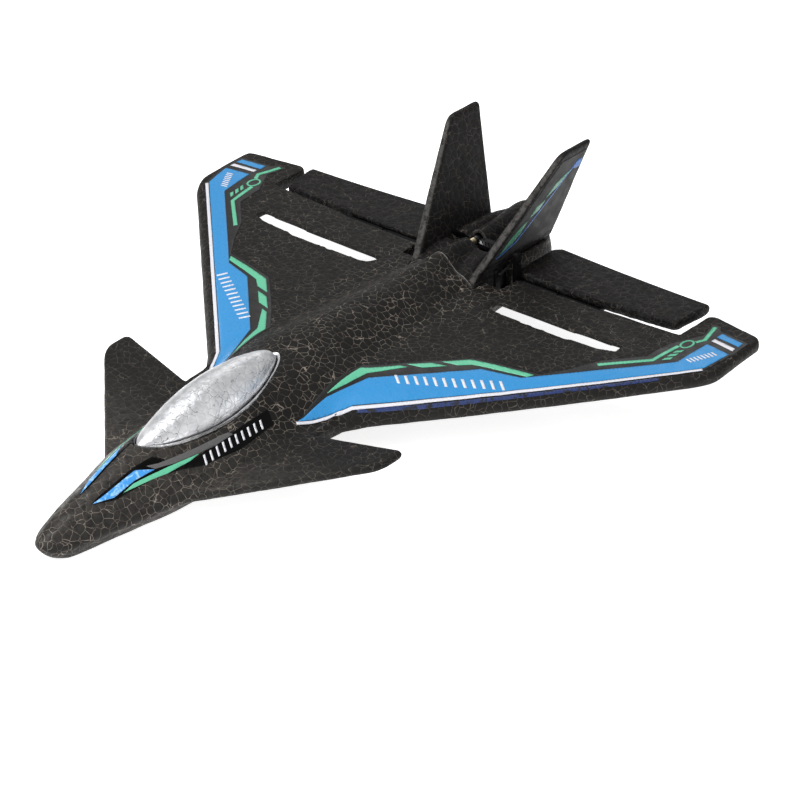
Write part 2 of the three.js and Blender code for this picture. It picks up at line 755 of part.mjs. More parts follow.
function elevon(lift) {
  const { inner, slant, outer, slantRear, rearInner, rearOuter } = ELEVON;
  const taper = (rearOuter - rearInner) / (outer - inner);
  const top = (x, y) => wingTop(x) + lift(x, y);
  const foam = plate({
    columns: stops(inner, [inner + ELEVON_CHAMFER, 3], [slant, 8], [outer - 1, 3], [outer, 2]),
    front: (x) => ELEVON_FRONT + ((slantRear - ELEVON_FRONT) * Math.max(0, x - slant)) / (outer - slant),
    rear: (x) =>
      rearInner + taper * (x - inner) - Math.max(0, inner + ELEVON_CHAMFER - x) - cornerInset(x, outer, 1.5),
    top,
    bottom: (x, y) => top(x, y) - ELEVON_THICKNESS,
    radius: () => 1.6,
    rearRadius: () => 2.4,
    maxLean: () => 5,
    steps: 3,
    tips: [true, true],
    endRadius: 1.3,
  });
  const grooveHalf = TONGUE.half + GAP;
  return cut(
    foam,
    alongHinge([RAIL.inner - 2, RAIL.outer + 0.4], TUBE_RADIUS + GAP),
    block(
      [TONGUE.inner - 0.5, TONGUE.outer + 0.5],
      [HINGE_Y, TONGUE.rear + GAP],
      [HINGE_Z - grooveHalf, HINGE_Z + grooveHalf],
    ),
    block([HORN.inner - GAP, HORN.outer + GAP], [HINGE_Y, HINGE_Y + HORN.half + 0.5], [18, 40]),
  ).simplify(FLATNESS / 2);
}

function hingeRail() {
  const strip = block([RAIL.inner, RAIL.outer], [RAIL.front, RAIL.rear], [RAIL.low, RAIL.high]);
  const hornGap = block([HORN.inner - 0.4, HORN.outer + 0.4], [110, 116], [HINGE_Z - 0.7, 30]);
  const lugs = LUGS.map((span) =>
    link(span, [RAIL.front + LUG_RADIUS, HINGE_Z], [HINGE_Y, HINGE_Z], LUG_RADIUS),
  );
  return cut(join(strip, ...lugs), hornGap, alongHinge([RAIL.inner - 1, RAIL.outer + 1], 0.75));
}

function elevonCarrier() {
  const tubes = TUBES.map((span) => alongHinge(span, TUBE_RADIUS));
  const tongue = block(
    [TONGUE.inner, TONGUE.outer],
    [HINGE_Y + TUBE_RADIUS - 0.15, TONGUE.rear],
    [HINGE_Z - TONGUE.half, HINGE_Z + TONGUE.half],
  );
  const horn = link(
    [HORN.inner, HORN.outer],
    [HINGE_Y, HINGE_Z],
    [HINGE_Y, HINGE_Z + HORN.reach],
    HORN.half,
  );
  const rodZ = HINGE_Z + ARM_RADIUS;
  return cut(
    join(horn, ...tubes, tongue),
    alongHinge([HORN.inner - 1, TUBES.at(-1)[1] + 1], 0.85),
    bar([HORN.inner - 1, HINGE_Y, rodZ], [HORN.outer + 1, HINGE_Y, rodZ], ROD_HOLE, 12),
  );
}

// ---------------------------------------------------------------- servos and pushrods

function servoCase() {
  const { inner, outer, front, rear, low, high } = SERVO;
  const shell = block([inner, outer], [front, rear], [low, high]);
  const seam = block([inner - 1, inner + 0.4], [front - 1, rear + 1], [low + 5, low + 5.5]);
  const outlet = bar([outer - 2, SERVO_Y, SERVO_Z], [outer + 1, SERVO_Y, SERVO_Z], ARM.shaft + GAP);
  return cut(shell, seam, outlet);
}

function servoArm() {
  const { inner, outer, half, shaft, shaftStart } = ARM;
  const pinZ = SERVO_Z + ARM_RADIUS;
  const plateBody = link([inner, outer], [SERVO_Y, SERVO_Z], [SERVO_Y, pinZ], half);
  const axle = bar([shaftStart, SERVO_Y, SERVO_Z], [outer, SERVO_Y, SERVO_Z], shaft);
  const boss = bar([inner - 2.2, SERVO_Y, SERVO_Z], [inner + 0.5, SERVO_Y, SERVO_Z], half);
  return cut(
    join(plateBody, axle, boss),
    bar([inner - 1, SERVO_Y, pinZ], [outer + 1, SERVO_Y, pinZ], ROD_HOLE, 12),
  );
}

// Wire with both ends bent: inwards through the servo's arm, outwards through the horn
function pushrod() {
  const front = [SERVO_Y, SERVO_Z + ARM_RADIUS];
  const rear = [HINGE_Y, HINGE_Z + ARM_RADIUS];
  const elbow = new THREE.SphereGeometry(ROD_RADIUS, 10, 6);
  return join(
    bar([ROD_X, ...front], [ROD_X, ...rear], ROD_RADIUS, 10),
    bar([ARM.inner - 0.5, ...front], [ROD_X, ...front], ROD_RADIUS, 10),
    bar([ROD_X, ...rear], [HORN.outer + 0.9, ...rear], ROD_RADIUS, 10),
    solid(elbow.clone().translate(ROD_X, ...front)),
    solid(elbow.clone().translate(ROD_X, ...rear)),
  );
}

// ---------------------------------------------------------------- motor and propeller

const onShaft = (front, rear, radius, sides = 20) => bar([0, front, PROP_Z], [0, rear, PROP_Z], radius, sides);

const motor = () =>
  cut(onShaft(MOTOR.front, MOTOR.rear, MOTOR.radius), onShaft(SHAFT.front - GAP, MOTOR.rear + 1, SHAFT_BORE));
const motorSleeve = () =>
  cut(
    onShaft(MOTOR.front + 2, PROP_SLOT.front - 0.4, SLEEVE.outer, 24),
    onShaft(MOTOR.front, PROP_SLOT.front + 1, SLEEVE.inner, 24),
  );

// One blade along +X: its chord leans from the plane of rotation by the pitch angle
function blade() {
  const chord = through([
    [1, 3],
    [4, 4.4],
    [8, 5.4],
    [12, 4.8],
    [14, 3],
    [PROP_RADIUS, 1.2],
  ]);
  const pitch = (radius) => Math.atan2(8, 3 + 1.7 * radius);
  const rings = stops(1, [12, 6], [PROP_RADIUS, 4]).map((radius) => {
    const [across, lean] = [chord(radius) / 2, pitch(radius)];
    const thick = 0.55 - 0.02 * radius;
    const section = [[-1, 0], [-0.4, 1], [0.4, 1], [1, 0], [0.4, -1], [-0.4, -1]];
    return section.map(([u, v]) => {
      const [along, off] = [u * across, v * thick];
      const y = PROP_Y + along * Math.sin(lean) + off * Math.cos(lean);
      const z = PROP_Z + along * Math.cos(lean) - off * Math.sin(lean);
      return [radius, y, z];
    });
  });
  return stitched(rings);
}

function propeller() {
  const one = blade();
  const other = geometryOf(one);
  other.translate(0, 0, -PROP_Z).rotateY(Math.PI).translate(0, 0, PROP_Z);
  const hub = onShaft(PROP_HUB.front, PROP_HUB.rear, PROP_HUB.radius);
  return cut(join(hub, one, solid(other)), onShaft(PROP_HUB.front - 1, PROP_HUB.rear + 1, SHAFT_BORE));
}

const propCollar = () =>
  cut(onShaft(COLLAR.front, COLLAR.rear, COLLAR.radius), onShaft(COLLAR.front - 1, COLLAR.rear + 1, SHAFT_BORE));

// ---------------------------------------------------------------- belly cover and what it hides

const span = (half) => [-half, half];

function bellyCover() {
  const { halfWidth, front, rear, bottom, thickness } = COVER;
  const top = bottom + thickness;
  const sheet = block(span(halfWidth), [front, rear], [bottom, top]);
  const tools = SCREWS.flatMap(([x, y]) => [
    bar([x, y, -1], [x, y, 5], SCREW.shank + GAP, 12),
    bar([x, y, -1], [x, y, SCREW.headHigh + GAP], SCREW.head + GAP),
  ]);
  tools.push(block(span(SOCKET.half + GAP), [SOCKET.front - GAP, SOCKET.rear + GAP], [-1, 5]));
  tools.push(bar([0, LENS.y, -1], [0, LENS.y, 5], LENS.radius + GAP));
  tools.push(block(span(1.3), [SLIDER.front + 0.1, SLIDER.rear + SLIDER.travel + 0.1], [-1, 5]));
  return cut(sheet, ...tools);
}

const screw = ([x, y]) =>
  cut(
    join(
      bar([x, y, COVER.bottom], [x, y, SCREW.headHigh], SCREW.head),
      bar([x, y, COVER.bottom], [x, y, SCREW.high], SCREW.shank, 12),
    ),
    block([x - 1.4, x + 1.4], [y - 0.25, y + 0.25], [-1, 0.5]),
    block([x - 0.25, x + 0.25], [y - 1.4, y + 1.4], [-1, 0.5]),
  );

function box({ front, rear, half, low, high }, shrink = 0) {
  return block(span(half - shrink), [front + shrink, rear - shrink], [low, high]);
}

// A case open at the belly, with walls and a roof of its `wall` thickness
const openCase = (size) => cut(box(size), box({ ...size, low: -1, high: size.high - size.wall }, size.wall));

function slider() {
  const { front, rear, half } = SLIDER;
  const base = block(span(half), [front, rear], [SWITCH.low + 0.3, SWITCH.high - SWITCH.wall - GAP]);
  const knob = block(span(1), [front + 0.5, rear - 0.5], [COVER.bottom + 0.1, SWITCH.low + 1]);
  return join(base, knob);
}

function circuitBoard() {
  const { low } = BOARD;
  const chips = [
    block([-4, 3], [8, 15], [low - 1.2, low + 0.2]),
    block([-6, -2], [20, 25], [low - 0.9, low + 0.2]),
    block([2, 7], [21, 27], [low - 1.6, low + 0.2]),
  ];
  return join(box(BOARD), ...chips);
}

// ---------------------------------------------------------------- assembly

add("foam_airframe", geometryOf(airframe()), "foam");
add("tail_unit", geometryOf(tailUnit()), "foam");
add("canopy", geometryOf(canopy()), "foil");
add("canopy_rim", geometryOf(cut(deckSlab(RIM_WIDTH, -1.8, 0.2), deckSlab(GAP, -4, 4))), "foil");

const HINGE_PIN = alongHinge([RAIL.inner + 0.1, RAIL.outer - 0.3], PIN_RADIUS);
for (const side of ["left", "right"]) {
  const pieces = [
    ["elevon", elevon(liftOf[side]), "foam"],
    ["hinge_rail", hingeRail(), "matte"],
    ["hinge_pin", HINGE_PIN, "steel"],
    ["elevon_carrier", elevonCarrier(), "gloss"],
    ["servo_case", servoCase(), "gloss"],
    ["servo_arm", servoArm(), "gloss"],
    ["pushrod", pushrod(), "matte"],
  ];
  for (const [name, body, material] of pieces) {
    const geometry = geometryOf(body);
    add(`${side}_${name}`, side === "left" ? geometry : mirrored(geometry), material);
  }
}

add("motor", geometryOf(motor()), "steel");
add("motor_sleeve", geometryOf(motorSleeve()), "matte");
add("prop_shaft", geometryOf(onShaft(SHAFT.front, SHAFT.rear, SHAFT.radius, 12)), "steel");
add("propeller", geometryOf(propeller()), "gloss");
add("prop_collar", geometryOf(propCollar()), "brass");

add("belly_cover", geometryOf(bellyCover()), "matte");
SCREWS.forEach((place, i) => add(`cover_screw_${i + 1}`, geometryOf(screw(place)), "steel"));
add("battery", geometryOf(box(BATTERY)), "pouch");
add("circuit_board", geometryOf(circuitBoard()), "board");
add("switch_housing", geometryOf(openCase(SWITCH)), "matte");
add("switch_slider", geometryOf(slider()), "gloss");
add("charge_socket", geometryOf(openCase(SOCKET)), "matte");
add("status_lens", geometryOf(bar([0, LENS.y, LENS.low], [0, LENS.y, LENS.high], LENS.radius)), "lens");

export default jet;
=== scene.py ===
"""Foam stunt jet: the looks of a small radio-controlled delta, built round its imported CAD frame.

Lengths in this script are millimetres, turned to metres where meshes are made. Only lights and camera are
placed in metres. +Z is up, the nose points towards -Y and +X is the aircraft's left.
"""

import math

import bmesh
import bpy
import numpy as np
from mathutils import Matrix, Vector, noise
from mathutils.bvhtree import BVHTree


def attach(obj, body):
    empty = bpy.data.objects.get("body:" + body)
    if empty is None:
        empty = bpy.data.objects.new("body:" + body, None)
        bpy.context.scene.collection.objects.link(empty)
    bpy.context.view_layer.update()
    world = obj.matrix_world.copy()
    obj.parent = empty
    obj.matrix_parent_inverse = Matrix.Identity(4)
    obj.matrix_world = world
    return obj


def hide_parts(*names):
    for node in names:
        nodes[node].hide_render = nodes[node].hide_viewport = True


MM = 0.001

# ---------------- driving dimensions

NOSE = -163
TAIL = 163
SEMI_SPAN = 150

WING_TOP = 27
WING_THICKNESS = 6.3
WING_SAG = -0.024
WING_RISE = 0.00034
WING_REAR = 114.3
KINK_X = 45  # outboard of here the leading edge is straight and swept
KINK_Y = -14.2
EDGE_SWEEP = 1.018
DROOP = 9.6
DROOP_FADE = 0.0733
DROOP_REACH = 26
TIP_NOTCH_X = 117.6
EDGE_RADIUS = 3.2
NOSE_EDGE_RADIUS = 6.5
REAR_EDGE_RADIUS = 1.4
TAIL_END_RADIUS = 5
WEB_THICKNESS = 2

SLOT_INNER = 33.5
SLOT_OUTER = 103.5
SLOT_FRONT = 81.8
SLOT_REAR = 90.2

ELEVON_THICKNESS = 5
ELEVON_FRONT = 116.9
HINGE_Y = 115.8
HINGE_Z = 23.6
WARP_X = 28
WARP_ROOT = 0.9
WARP_SLOPE = 0.021
WARP_TWIST = 0.0006

SEAM_Y = 92.8
TAIL_HALF_WIDTH = 22.6
SEAT_X = 18.8
SEAT_Z = 14.5
PROP_Z = 34.6
FIN_THICKNESS = 4.5
DECK_RISE = 4.5  # of the deck between the elevons, over the line of the wing

CANOPY_FRONT = -104.5
CANOPY_LENGTH = 84.5
CANOPY_HALF_WIDTH = 11.8
CANOPY_WIDEST = 0.45  # of its length, from the front
CANOPY_CENTRE = CANOPY_FRONT + CANOPY_LENGTH * CANOPY_WIDEST


# ---------------- curves


def smooth(start, end, value):
    t = np.clip((np.asarray(value, float) - start) / (end - start), 0, 1)
    return t * t * (3 - 2 * t)


def through(points):
    """A smooth function through (position, value) points that never overshoots them."""
    places, values = np.array(points, float).T
    widths = np.diff(places)
    slopes = np.diff(values) / widths
    before, after = slopes[:-1], slopes[1:]
    same_way = before * after > 0
    harmonic = 2 * before * after / np.where(same_way, before + after, 1)
    tangents = np.concatenate([slopes[:1], np.where(same_way, harmonic, 0), slopes[-1:]])

    def value(x):
        x = np.clip(np.asarray(x, float), places[0], places[-1])
        i = np.clip(np.searchsorted(places, x, side="right") - 1, 0, len(widths) - 1)
        t = (x - places[i]) / widths[i]
        ease = t * t * (3 - 2 * t)
        bend = t * (1 - t) * widths[i]
        ends = values[i] * (1 - ease) + values[i + 1] * ease
        return ends + bend * (tangents[i] * (1 - t) - tangents[i + 1] * t)

    return value


def corner_inset(x, end, radius):
    """How far a corner of this radius, which ends at `end`, pulls an edge in at x."""
    reach = np.clip((radius - np.abs(end - np.asarray(x, float))) / radius, 0, 1)
    return radius * (1 - np.sqrt(1 - reach * reach))


def spread(*stops):
    """Even steps from each stop to the next: spread(start, (stop, steps), (stop, steps) ...)."""
    values = [np.array([stops[0]], float)]
    for stop, steps in stops[1:]:
        values.append(np.linspace(values[-1][-1], stop, steps + 1)[1:])
    return np.concatenate(values)


# ---------------- the airframe's surfaces


def wing_top(x):
    return WING_TOP + WING_SAG * np.abs(x) + WING_RISE * np.square(x)


def edge_line(x):
    """The wing's swept leading edge in plan."""
    return KINK_Y + EDGE_SWEEP * (np.abs(x) - KINK_X)


def droop(x, y):
    """How far the top face bends down towards the leading edge."""
    behind = np.maximum(0, (y - edge_line(x)) * 0.7)
    depth = DROOP - DROOP_FADE * (np.abs(x) - KINK_X)
    return depth * np.maximum(0, 1 - behind / DROOP_REACH) ** 2


nose_drop = through([(NOSE, 5.5), (-98, 2.5), (-45, 0)])


def shoulder(x, y):
    return wing_top(x) - droop(x, y) - nose_drop(y)


crest = through(
    [
        (NOSE, 11.4), (-150, 16.4), (-133, 22.4), (-107, 29.4), (-75, 32), (-45, 33.4), (-20, 34.4),
        (-3, 37.4), (16, 38.1), (40, 37.7), (64, 37.4), (SEAM_Y, 38.5), (101, 39.4), (110, 39),
        (113, 38.6), (121, 39.1), (140, 39.8), (152, 40.6), (158, 40.2), (TAIL, 36),
    ]
)
ridge_half_width = through([(NOSE, 13), (-133, 20), (-100, 30), (-60, 36), (-10, 34), (40, 27), (93, 23)])
saddle_height = through([(60, 30), (SEAM_Y, 30.9), (113, 34.9), (146, 34.5), (TAIL, 30)])
tube_half_width = through([(60, 22), (SEAM_Y, 12), (104, 7.5), (138, 8), (156, 14)])
belly = through(
    [(NOSE, 4.5), (-158, 1.6), (-150, 0), (60, 0), (86, 0.1), (98, 9.5), (108, 12), (TAIL, 12.2)]
)
belly_half_width = through(
    [
        (NOSE, 6), (-150, 10.6), (-136.7, 13.8), (-118.7, 18.8), (-100, 23.6), (-40, 29), (60, 29),
        (95, 36), (118, 36), (136, 27), (TAIL, 25),
    ]
)


def ridge(x, half_width):
    reach = np.minimum(np.abs(x) / half_width, 1)
    return np.cos(reach * math.pi / 2) ** 2


def tail_top(x, y):
    """A narrow tube over a raised saddle, with a lobe beside each fin behind the propeller."""
    base = shoulder(x, y)
    saddle = (saddle_height(y) - base) * (1 - smooth(11.5, 19.5, np.abs(x)))
    valley = 2.4 * ridge(np.abs(x) - 7, 3.8) * smooth(116, 121, y) * (1 - smooth(144, 158, y))
    tube = (crest(y) - saddle_height(y)) * ridge(x, tube_half_width(y))
    return base + saddle - valley + tube


def body_top(x, y):
    base = shoulder(x, y)
    spine = base + (crest(y) - base) * ridge(x, ridge_half_width(y))
    share = smooth(62, SEAM_Y - 2, y)
    rise = DECK_RISE * (1 - smooth(22.4, 23.8, np.abs(x))) * smooth(114, 118, y) * (1 - smooth(146, 154, y))
    return spine * (1 - share) + tail_top(x, y) * share + rise


def slot_web(x, y):
    """1 where the wing is thinned round its slot, 0 elsewhere."""
    across = smooth(25, 35, np.abs(x)) * (1 - smooth(102, 114, np.abs(x)))
    return across * smooth(69, 79, y) * (1 - smooth(94, 104, y))


def body_bottom(x, y):
    under = shoulder(x, y) - WING_THICKNESS + (WING_THICKNESS - WEB_THICKNESS) * slot_web(x, y)
    reach = np.abs(x) / belly_half_width(y)
    return under + (belly(y) - under) * (1 - smooth(0.52, 1, reach))


nose_plan = through(
    [
        (0, NOSE), (3, NOSE + 0.9), (6, NOSE + 3.6), (8.6, NOSE + 8), (10.6, -149.5), (13.8, -136.7),
        (18.8, -118.7), (23.2, -100.7), (37, -41), (38, -24), (40.5, -20.2), (46, -13.2),
    ]
)


def body_front(x):
    out = np.abs(x)
    swept = np.where(out > KINK_X, edge_line(x), NOSE)
    return np.maximum(nose_plan(out), swept) + corner_inset(out, SEMI_SPAN, 7)


tail_plan = through(
    [
        (0, TAIL), (6, TAIL - 0.6), (11, TAIL - 3), (15, TAIL - 6), (18, TAIL - 9.5), (20, TAIL - 12.5),
        (21.2, TAIL - 17), (TAIL_HALF_WIDTH, WING_REAR + 2),
    ]
)


def body_rear(x):
    out = np.abs(x)
    tip = 138.5 - 8.5 * (out - TIP_NOTCH_X) / (SEMI_SPAN - TIP_NOTCH_X)
    tip = tip - corner_inset(out, SEMI_SPAN, 5) - corner_inset(out, TIP_NOTCH_X, 5)
    wing = np.where(out < TIP_NOTCH_X, WING_REAR, tip)
    return np.where(out < TAIL_HALF_WIDTH + 0.1, tail_plan(out), wing)


# ---------------- canopy surfaces


def canopy_half_width(t):
    """Half-width of the canopy's teardrop plan at a share t of its length."""
    t = np.asarray(t, float)
    ahead = np.sin(np.clip(t / CANOPY_WIDEST, 0, 1) * math.pi / 2) ** 0.55
    back = np.clip((t - CANOPY_WIDEST) / (1 - CANOPY_WIDEST), 0, 1)
    return CANOPY_HALF_WIDTH * np.where(t < CANOPY_WIDEST, ahead, (1 - back * back) ** 0.62)


def share_at(angle):
    """The share of the canopy's length at an angle, 0 at its front and pi at its rear."""
    return (1 - math.cos(angle)) / 2


def grown(offset):
    """The scale in x and y that widens the canopy's plan by `offset` all round."""
    return np.array([1 + offset / CANOPY_HALF_WIDTH, 1 + 2 * offset / CANOPY_LENGTH])


deck = through(
    [(-104.5, 28.6), (-88, 27.6), (-66, 27.2), (-52, 28.2), (-40, 30), (-28, 32.8), (-20, 34.2)]
)
canopy_top = through(
    [
        (-104.5, 28.9), (-102, 30.3), (-97, 32.2), (-90, 34.5), (-80, 38), (-67, 41.3),
        (-55, 42.6), (-43, 42.4), (-32, 41), (-24, 38.6), (-20, 34.3),
    ]
)


# ---------------- mesh helpers


def new_object(name, vertices, faces):
    mesh = bpy.data.meshes.new(name)
    mesh.from_pydata([tuple(c * MM for c in v) for v in vertices], [], faces)
    mesh.update()
    piece = bpy.data.objects.new(name, mesh)
    bpy.context.scene.collection.objects.link(piece)
    return piece


def stitched(name, rings):
    """A closed surface over rings of equal point counts, with one flat face over each end."""
    rings = np.asarray(rings, float)
    count, around = rings.shape[:2]
    faces = []
    for i in range(count - 1):
        for j in range(around):
            k = (j + 1) % around
            faces.append((i * around + j, i * around + k, (i + 1) * around + k, (i + 1) * around + j))
    faces.append(tuple(reversed(range(around))))
    faces.append(tuple(range((count - 1) * around, count * around)))
    piece = new_object(name, rings.reshape(-1, 3), faces)
    face_outwards(piece)
    return piece


def face_outwards(piece):
    mesh = bmesh.new()
    mesh.from_mesh(piece.data)
    bmesh.ops.remove_doubles(mesh, verts=mesh.verts, dist=1e-7)
    bmesh.ops.recalc_face_normals(mesh, faces=mesh.faces)
    mesh.to_mesh(piece.data)
    mesh.free()


def block(name, x_span, y_span, z_span):
    piece = new_object(
        name,
        [(x, y, z) for x in x_span for y in y_span for z in z_span],
        [(0, 1, 3, 2), (4, 6, 7, 5), (0, 4, 5, 1), (2, 3, 7, 6), (0, 2, 6, 4), (1, 5, 7, 3)],
    )
    face_outwards(piece)
    return piece


BAR_SIDES = 32


def bar(name, start, end, radius):
    """A round bar between two points."""
    start, end = Vector(start), Vector(end)
    turn = (end - start).to_track_quat("Z", "Y")
    angles = [2 * math.pi * k / BAR_SIDES for k in range(BAR_SIDES)]
    spokes = [turn @ Vector((math.cos(a) * radius, math.sin(a) * radius, 0)) for a in angles]
    return stitched(name, [[centre + spoke for spoke in spokes] for centre in (start, end)])


def discard(piece):
    bpy.data.objects.remove(piece)


def apply_modifiers(piece):
    graph = bpy.context.evaluated_depsgraph_get()
    baked = bpy.data.meshes.new_from_object(piece.evaluated_get(graph))
    piece.modifiers.clear()
    piece.data = baked


def cut(piece, *tools, operation="DIFFERENCE"):
    for tool in tools:
        change = piece.modifiers.new("cut", "BOOLEAN")
        change.operation = operation
        change.solver = "MANIFOLD"
        change.object = tool
    apply_modifiers(piece)
    for tool in tools:
        discard(tool)


def join(target, *others):
    """Adds the faces of `others` to `target`."""
    mesh = bmesh.new()
    for piece in (target, *others):
        mesh.from_mesh(piece.data)
    mesh.to_mesh(target.data)
    mesh.free()
    for piece in others:
        discard(piece)


def mirrored(piece, name):
    """A copy of `piece` on the other side of the aircraft."""
    copy = bpy.data.objects.new(name, piece.data.copy())
    bpy.context.scene.collection.objects.link(copy)
    for vertex in copy.data.vertices:
        vertex.co.x = -vertex.co.x
    face_outwards(copy)
    return copy


def moulded(piece, voxel, passes):
    """Fuses a piece's solids into one even skin and softens its edges as moulded foam has them."""
    skin = piece.modifiers.new("skin", "REMESH")
    skin.mode = "VOXEL"
    skin.voxel_size = voxel * MM
    soften = piece.modifiers.new("soften", "SMOOTH")
    soften.factor = 0.5
    soften.iterations = passes
    apply_modifiers(piece)
    shade_smooth(piece)


def shade_smooth(piece):
    piece.data.polygons.foreach_set("use_smooth", [True] * len(piece.data.polygons))
    piece.data.update()


def positions(piece):
    places = np.empty(len(piece.data.vertices) * 3)
    piece.data.vertices.foreach_get("co", places)
    return places.reshape(-1, 3) / MM


def set_positions(piece, places):
    piece.data.vertices.foreach_set("co", (np.asarray(places) * MM).ravel())
    piece.data.update()


def normals(piece):
    directions = np.empty(len(piece.data.vertices) * 3)
    piece.data.vertices.foreach_get("normal", directions)
    return directions.reshape(-1, 3)


def uneven(piece, height, size, seed):
    """Moves the skin in and out a little, as hand-worked foam and film lie."""
    places = positions(piece)
    shift = np.array([noise.noise(Vector(p) / size + Vector((seed, 0, 0))) for p in places])
    set_positions(piece, places + normals(piece) * (height * shift)[:, None])


# ---------------- moulded foam plates

MAX_EDGE_SHARE = 0.35  # an edge takes up no more of the chord than this


def rounded_section(front, rear, lead, trail, steps, edge_steps):
    """Places from front to rear, and at each the share of full thickness that its round edges leave."""
    angles = np.linspace(0, math.pi / 2, edge_steps + 1)
    inner = np.linspace(front + lead, rear - trail, steps + 1)[1:-1]
    nose = front + lead * (1 - np.cos(angles))
    end = rear - trail * (1 - np.cos(angles))
    rise = np.sin(angles)
    return np.concatenate([nose, inner, end[::-1]]), np.concatenate([rise, np.ones(len(inner)), rise[::-1]])


def plate(
    name, columns, front, rear, top, bottom, radius, rear_radius, max_lean, steps, tips, end_radius=3
):
    """A foam moulding whose plan runs from front(x) to rear(x), between top(x, y) and bottom(x, y).

    `radius` and `rear_radius` round its edges, drawn out by up to `max_lean` where the front is swept, and
    `end_radius` rounds the ends that `tips` marks.
    """
    rings = []
    for x in columns:
        ahead, behind = float(front(x)), float(rear(x))
        chord = behind - ahead
        sweep = float(front(x + 0.05) - front(x - 0.05)) / 0.1
        lead = min(radius(x) * min(max_lean(x), math.hypot(1, sweep)), chord * MAX_EDGE_SHARE)
        trail = min(rear_radius(x), chord * MAX_EDGE_SHARE)
        y, factor = rounded_section(ahead, behind, lead, trail, steps, edge_steps=7)
        inside = 1
        if tips[0]:
            inside = min(inside, (x - columns[0]) / end_radius)
        if tips[1]:
            inside = min(inside, (columns[-1] - x) / end_radius)
        factor = factor * math.sqrt(1 - (1 - inside) ** 2)
        high, low = top(x, y), bottom(x, y)
        middle, half = (high + low) / 2, (high - low) / 2 * factor
        upper = np.stack([np.full(len(y), x), y, middle + half], axis=1)
        lower = np.stack([np.full(len(y), x), y, middle - half], axis=1)[1:-1]
        rings.append(np.concatenate([upper, lower[::-1]]))
    return stitched(name, rings)


HALF_COLUMNS = spread(
    0, (12, 20), (TAIL_HALF_WIDTH + 0.05, 16), (TAIL_HALF_WIDTH + 0.15, 1), (36, 9), (46, 20),
    (TIP_NOTCH_X - 0.1, 28), (TIP_NOTCH_X + 0.1, 1),
    (TIP_NOTCH_X + 5, 7), (142, 8), (147, 6), (SEMI_SPAN, 9),
)
BODY_COLUMNS = np.concatenate([-HALF_COLUMNS[:0:-1], HALF_COLUMNS])


def body_plate(name, top):
    return plate(
        name,
        columns=BODY_COLUMNS,
        front=body_front,
        rear=body_rear,
        top=top,
        bottom=body_bottom,
        radius=lambda x: NOSE_EDGE_RADIUS if abs(x) < 38 else EDGE_RADIUS,
        rear_radius=lambda x: TAIL_END_RADIUS if abs(x) < TAIL_HALF_WIDTH + 0.1 else REAR_EDGE_RADIUS,
        max_lean=lambda x: 5 if abs(x) < 36 else 1.5,
        steps=84,
        tips=(True, True),
    )


# ---------------- foam airframe

CANARD_TIP = 79.5
CANARD_FRONT = (26, -98.6)
CANARD_REAR = (37.6, -37.3)
CANARD_TIP_FRONT = -43.5
CANARD_TIP_REAR = -28.5
CANARD_HEIGHT = 11
CANARD_RISE = 0.11
CANARD_PITCH = 0.045
CANARD_HALF_THICKNESS = 2.6
CANARD_THINNING = 0.9
CANARD_EDGE_RADIUS = 2


def canard(name):
    sweep = (CANARD_TIP_FRONT - CANARD_FRONT[1]) / (CANARD_TIP - CANARD_FRONT[0])
    trail = (CANARD_TIP_REAR - CANARD_REAR[1]) / (CANARD_TIP - CANARD_REAR[0])

    def middle(x, y):
        return CANARD_HEIGHT + CANARD_RISE * (x - CANARD_FRONT[0]) + CANARD_PITCH * (y - CANARD_FRONT[1])

    def half(x):
        return CANARD_HALF_THICKNESS - CANARD_THINNING * smooth(30, CANARD_TIP, x)

    return plate(
        name,
        columns=spread(18, (70, 26), (CANARD_TIP - 3, 6), (CANARD_TIP, 8)),
        front=lambda x: CANARD_FRONT[1] + sweep * (x - CANARD_FRONT[0]) + corner_inset(x, CANARD_TIP, 5),
        rear=lambda x: CANARD_REAR[1] + trail * (x - CANARD_REAR[0]) - corner_inset(x, CANARD_TIP, 4),
        top=lambda x, y: middle(x, y) + half(x),
        bottom=lambda x, y: middle(x, y) - half(x),
        radius=lambda x: CANARD_EDGE_RADIUS,
        rear_radius=lambda x: CANARD_EDGE_RADIUS,
        max_lean=lambda x: 2,
        steps=24,
        tips=(False, True),
    )


TORN_DEPTH = 0.6
TORN_STEP = 1.1
SLOT_CUTTER_Z = (10, 40)


def torn_line(start, end, depth, seed):
    """Points from start to end with the small steps that torn foam leaves."""
    start, end = np.array(start, float), np.array(end, float)
    along = end - start
    length = float(np.hypot(*along))
    across = np.array([along[1], -along[0]]) / length
    count = max(2, int(length / TORN_STEP))
    points = []
    for i in range(1, count):
        share = i / count
        coarse = noise.noise(Vector((seed, share * length / 3.5, 0)))
        fine = noise.noise(Vector((seed, share * length, 7)))
        points.append(tuple(start + along * share + across * depth * (coarse + 0.5 * fine)))
    return points


def wing_slot(name, side, seed):
    """The cutter for a wing slot: straight at the rear, torn along the front."""
    inner, outer, front = SLOT_INNER, SLOT_OUTER, SLOT_FRONT
    corners = [(inner + 2, front + 2), (inner + 6, front + 0.9), (inner + 28, front)]
    corners += [(inner + 43, front - 0.2), (inner + 61, front + 0.8), (outer, front + 2.6)]
    outline = [(outer, SLOT_REAR), (inner - 1, SLOT_REAR)]
    for i in range(len(corners) - 1):
        outline += [corners[i]] + torn_line(corners[i], corners[i + 1], TORN_DEPTH, seed + i)
    outline.append(corners[-1])
    return stitched(name, [[(x * side, y, z) for x, y in outline] for z in SLOT_CUTTER_Z])


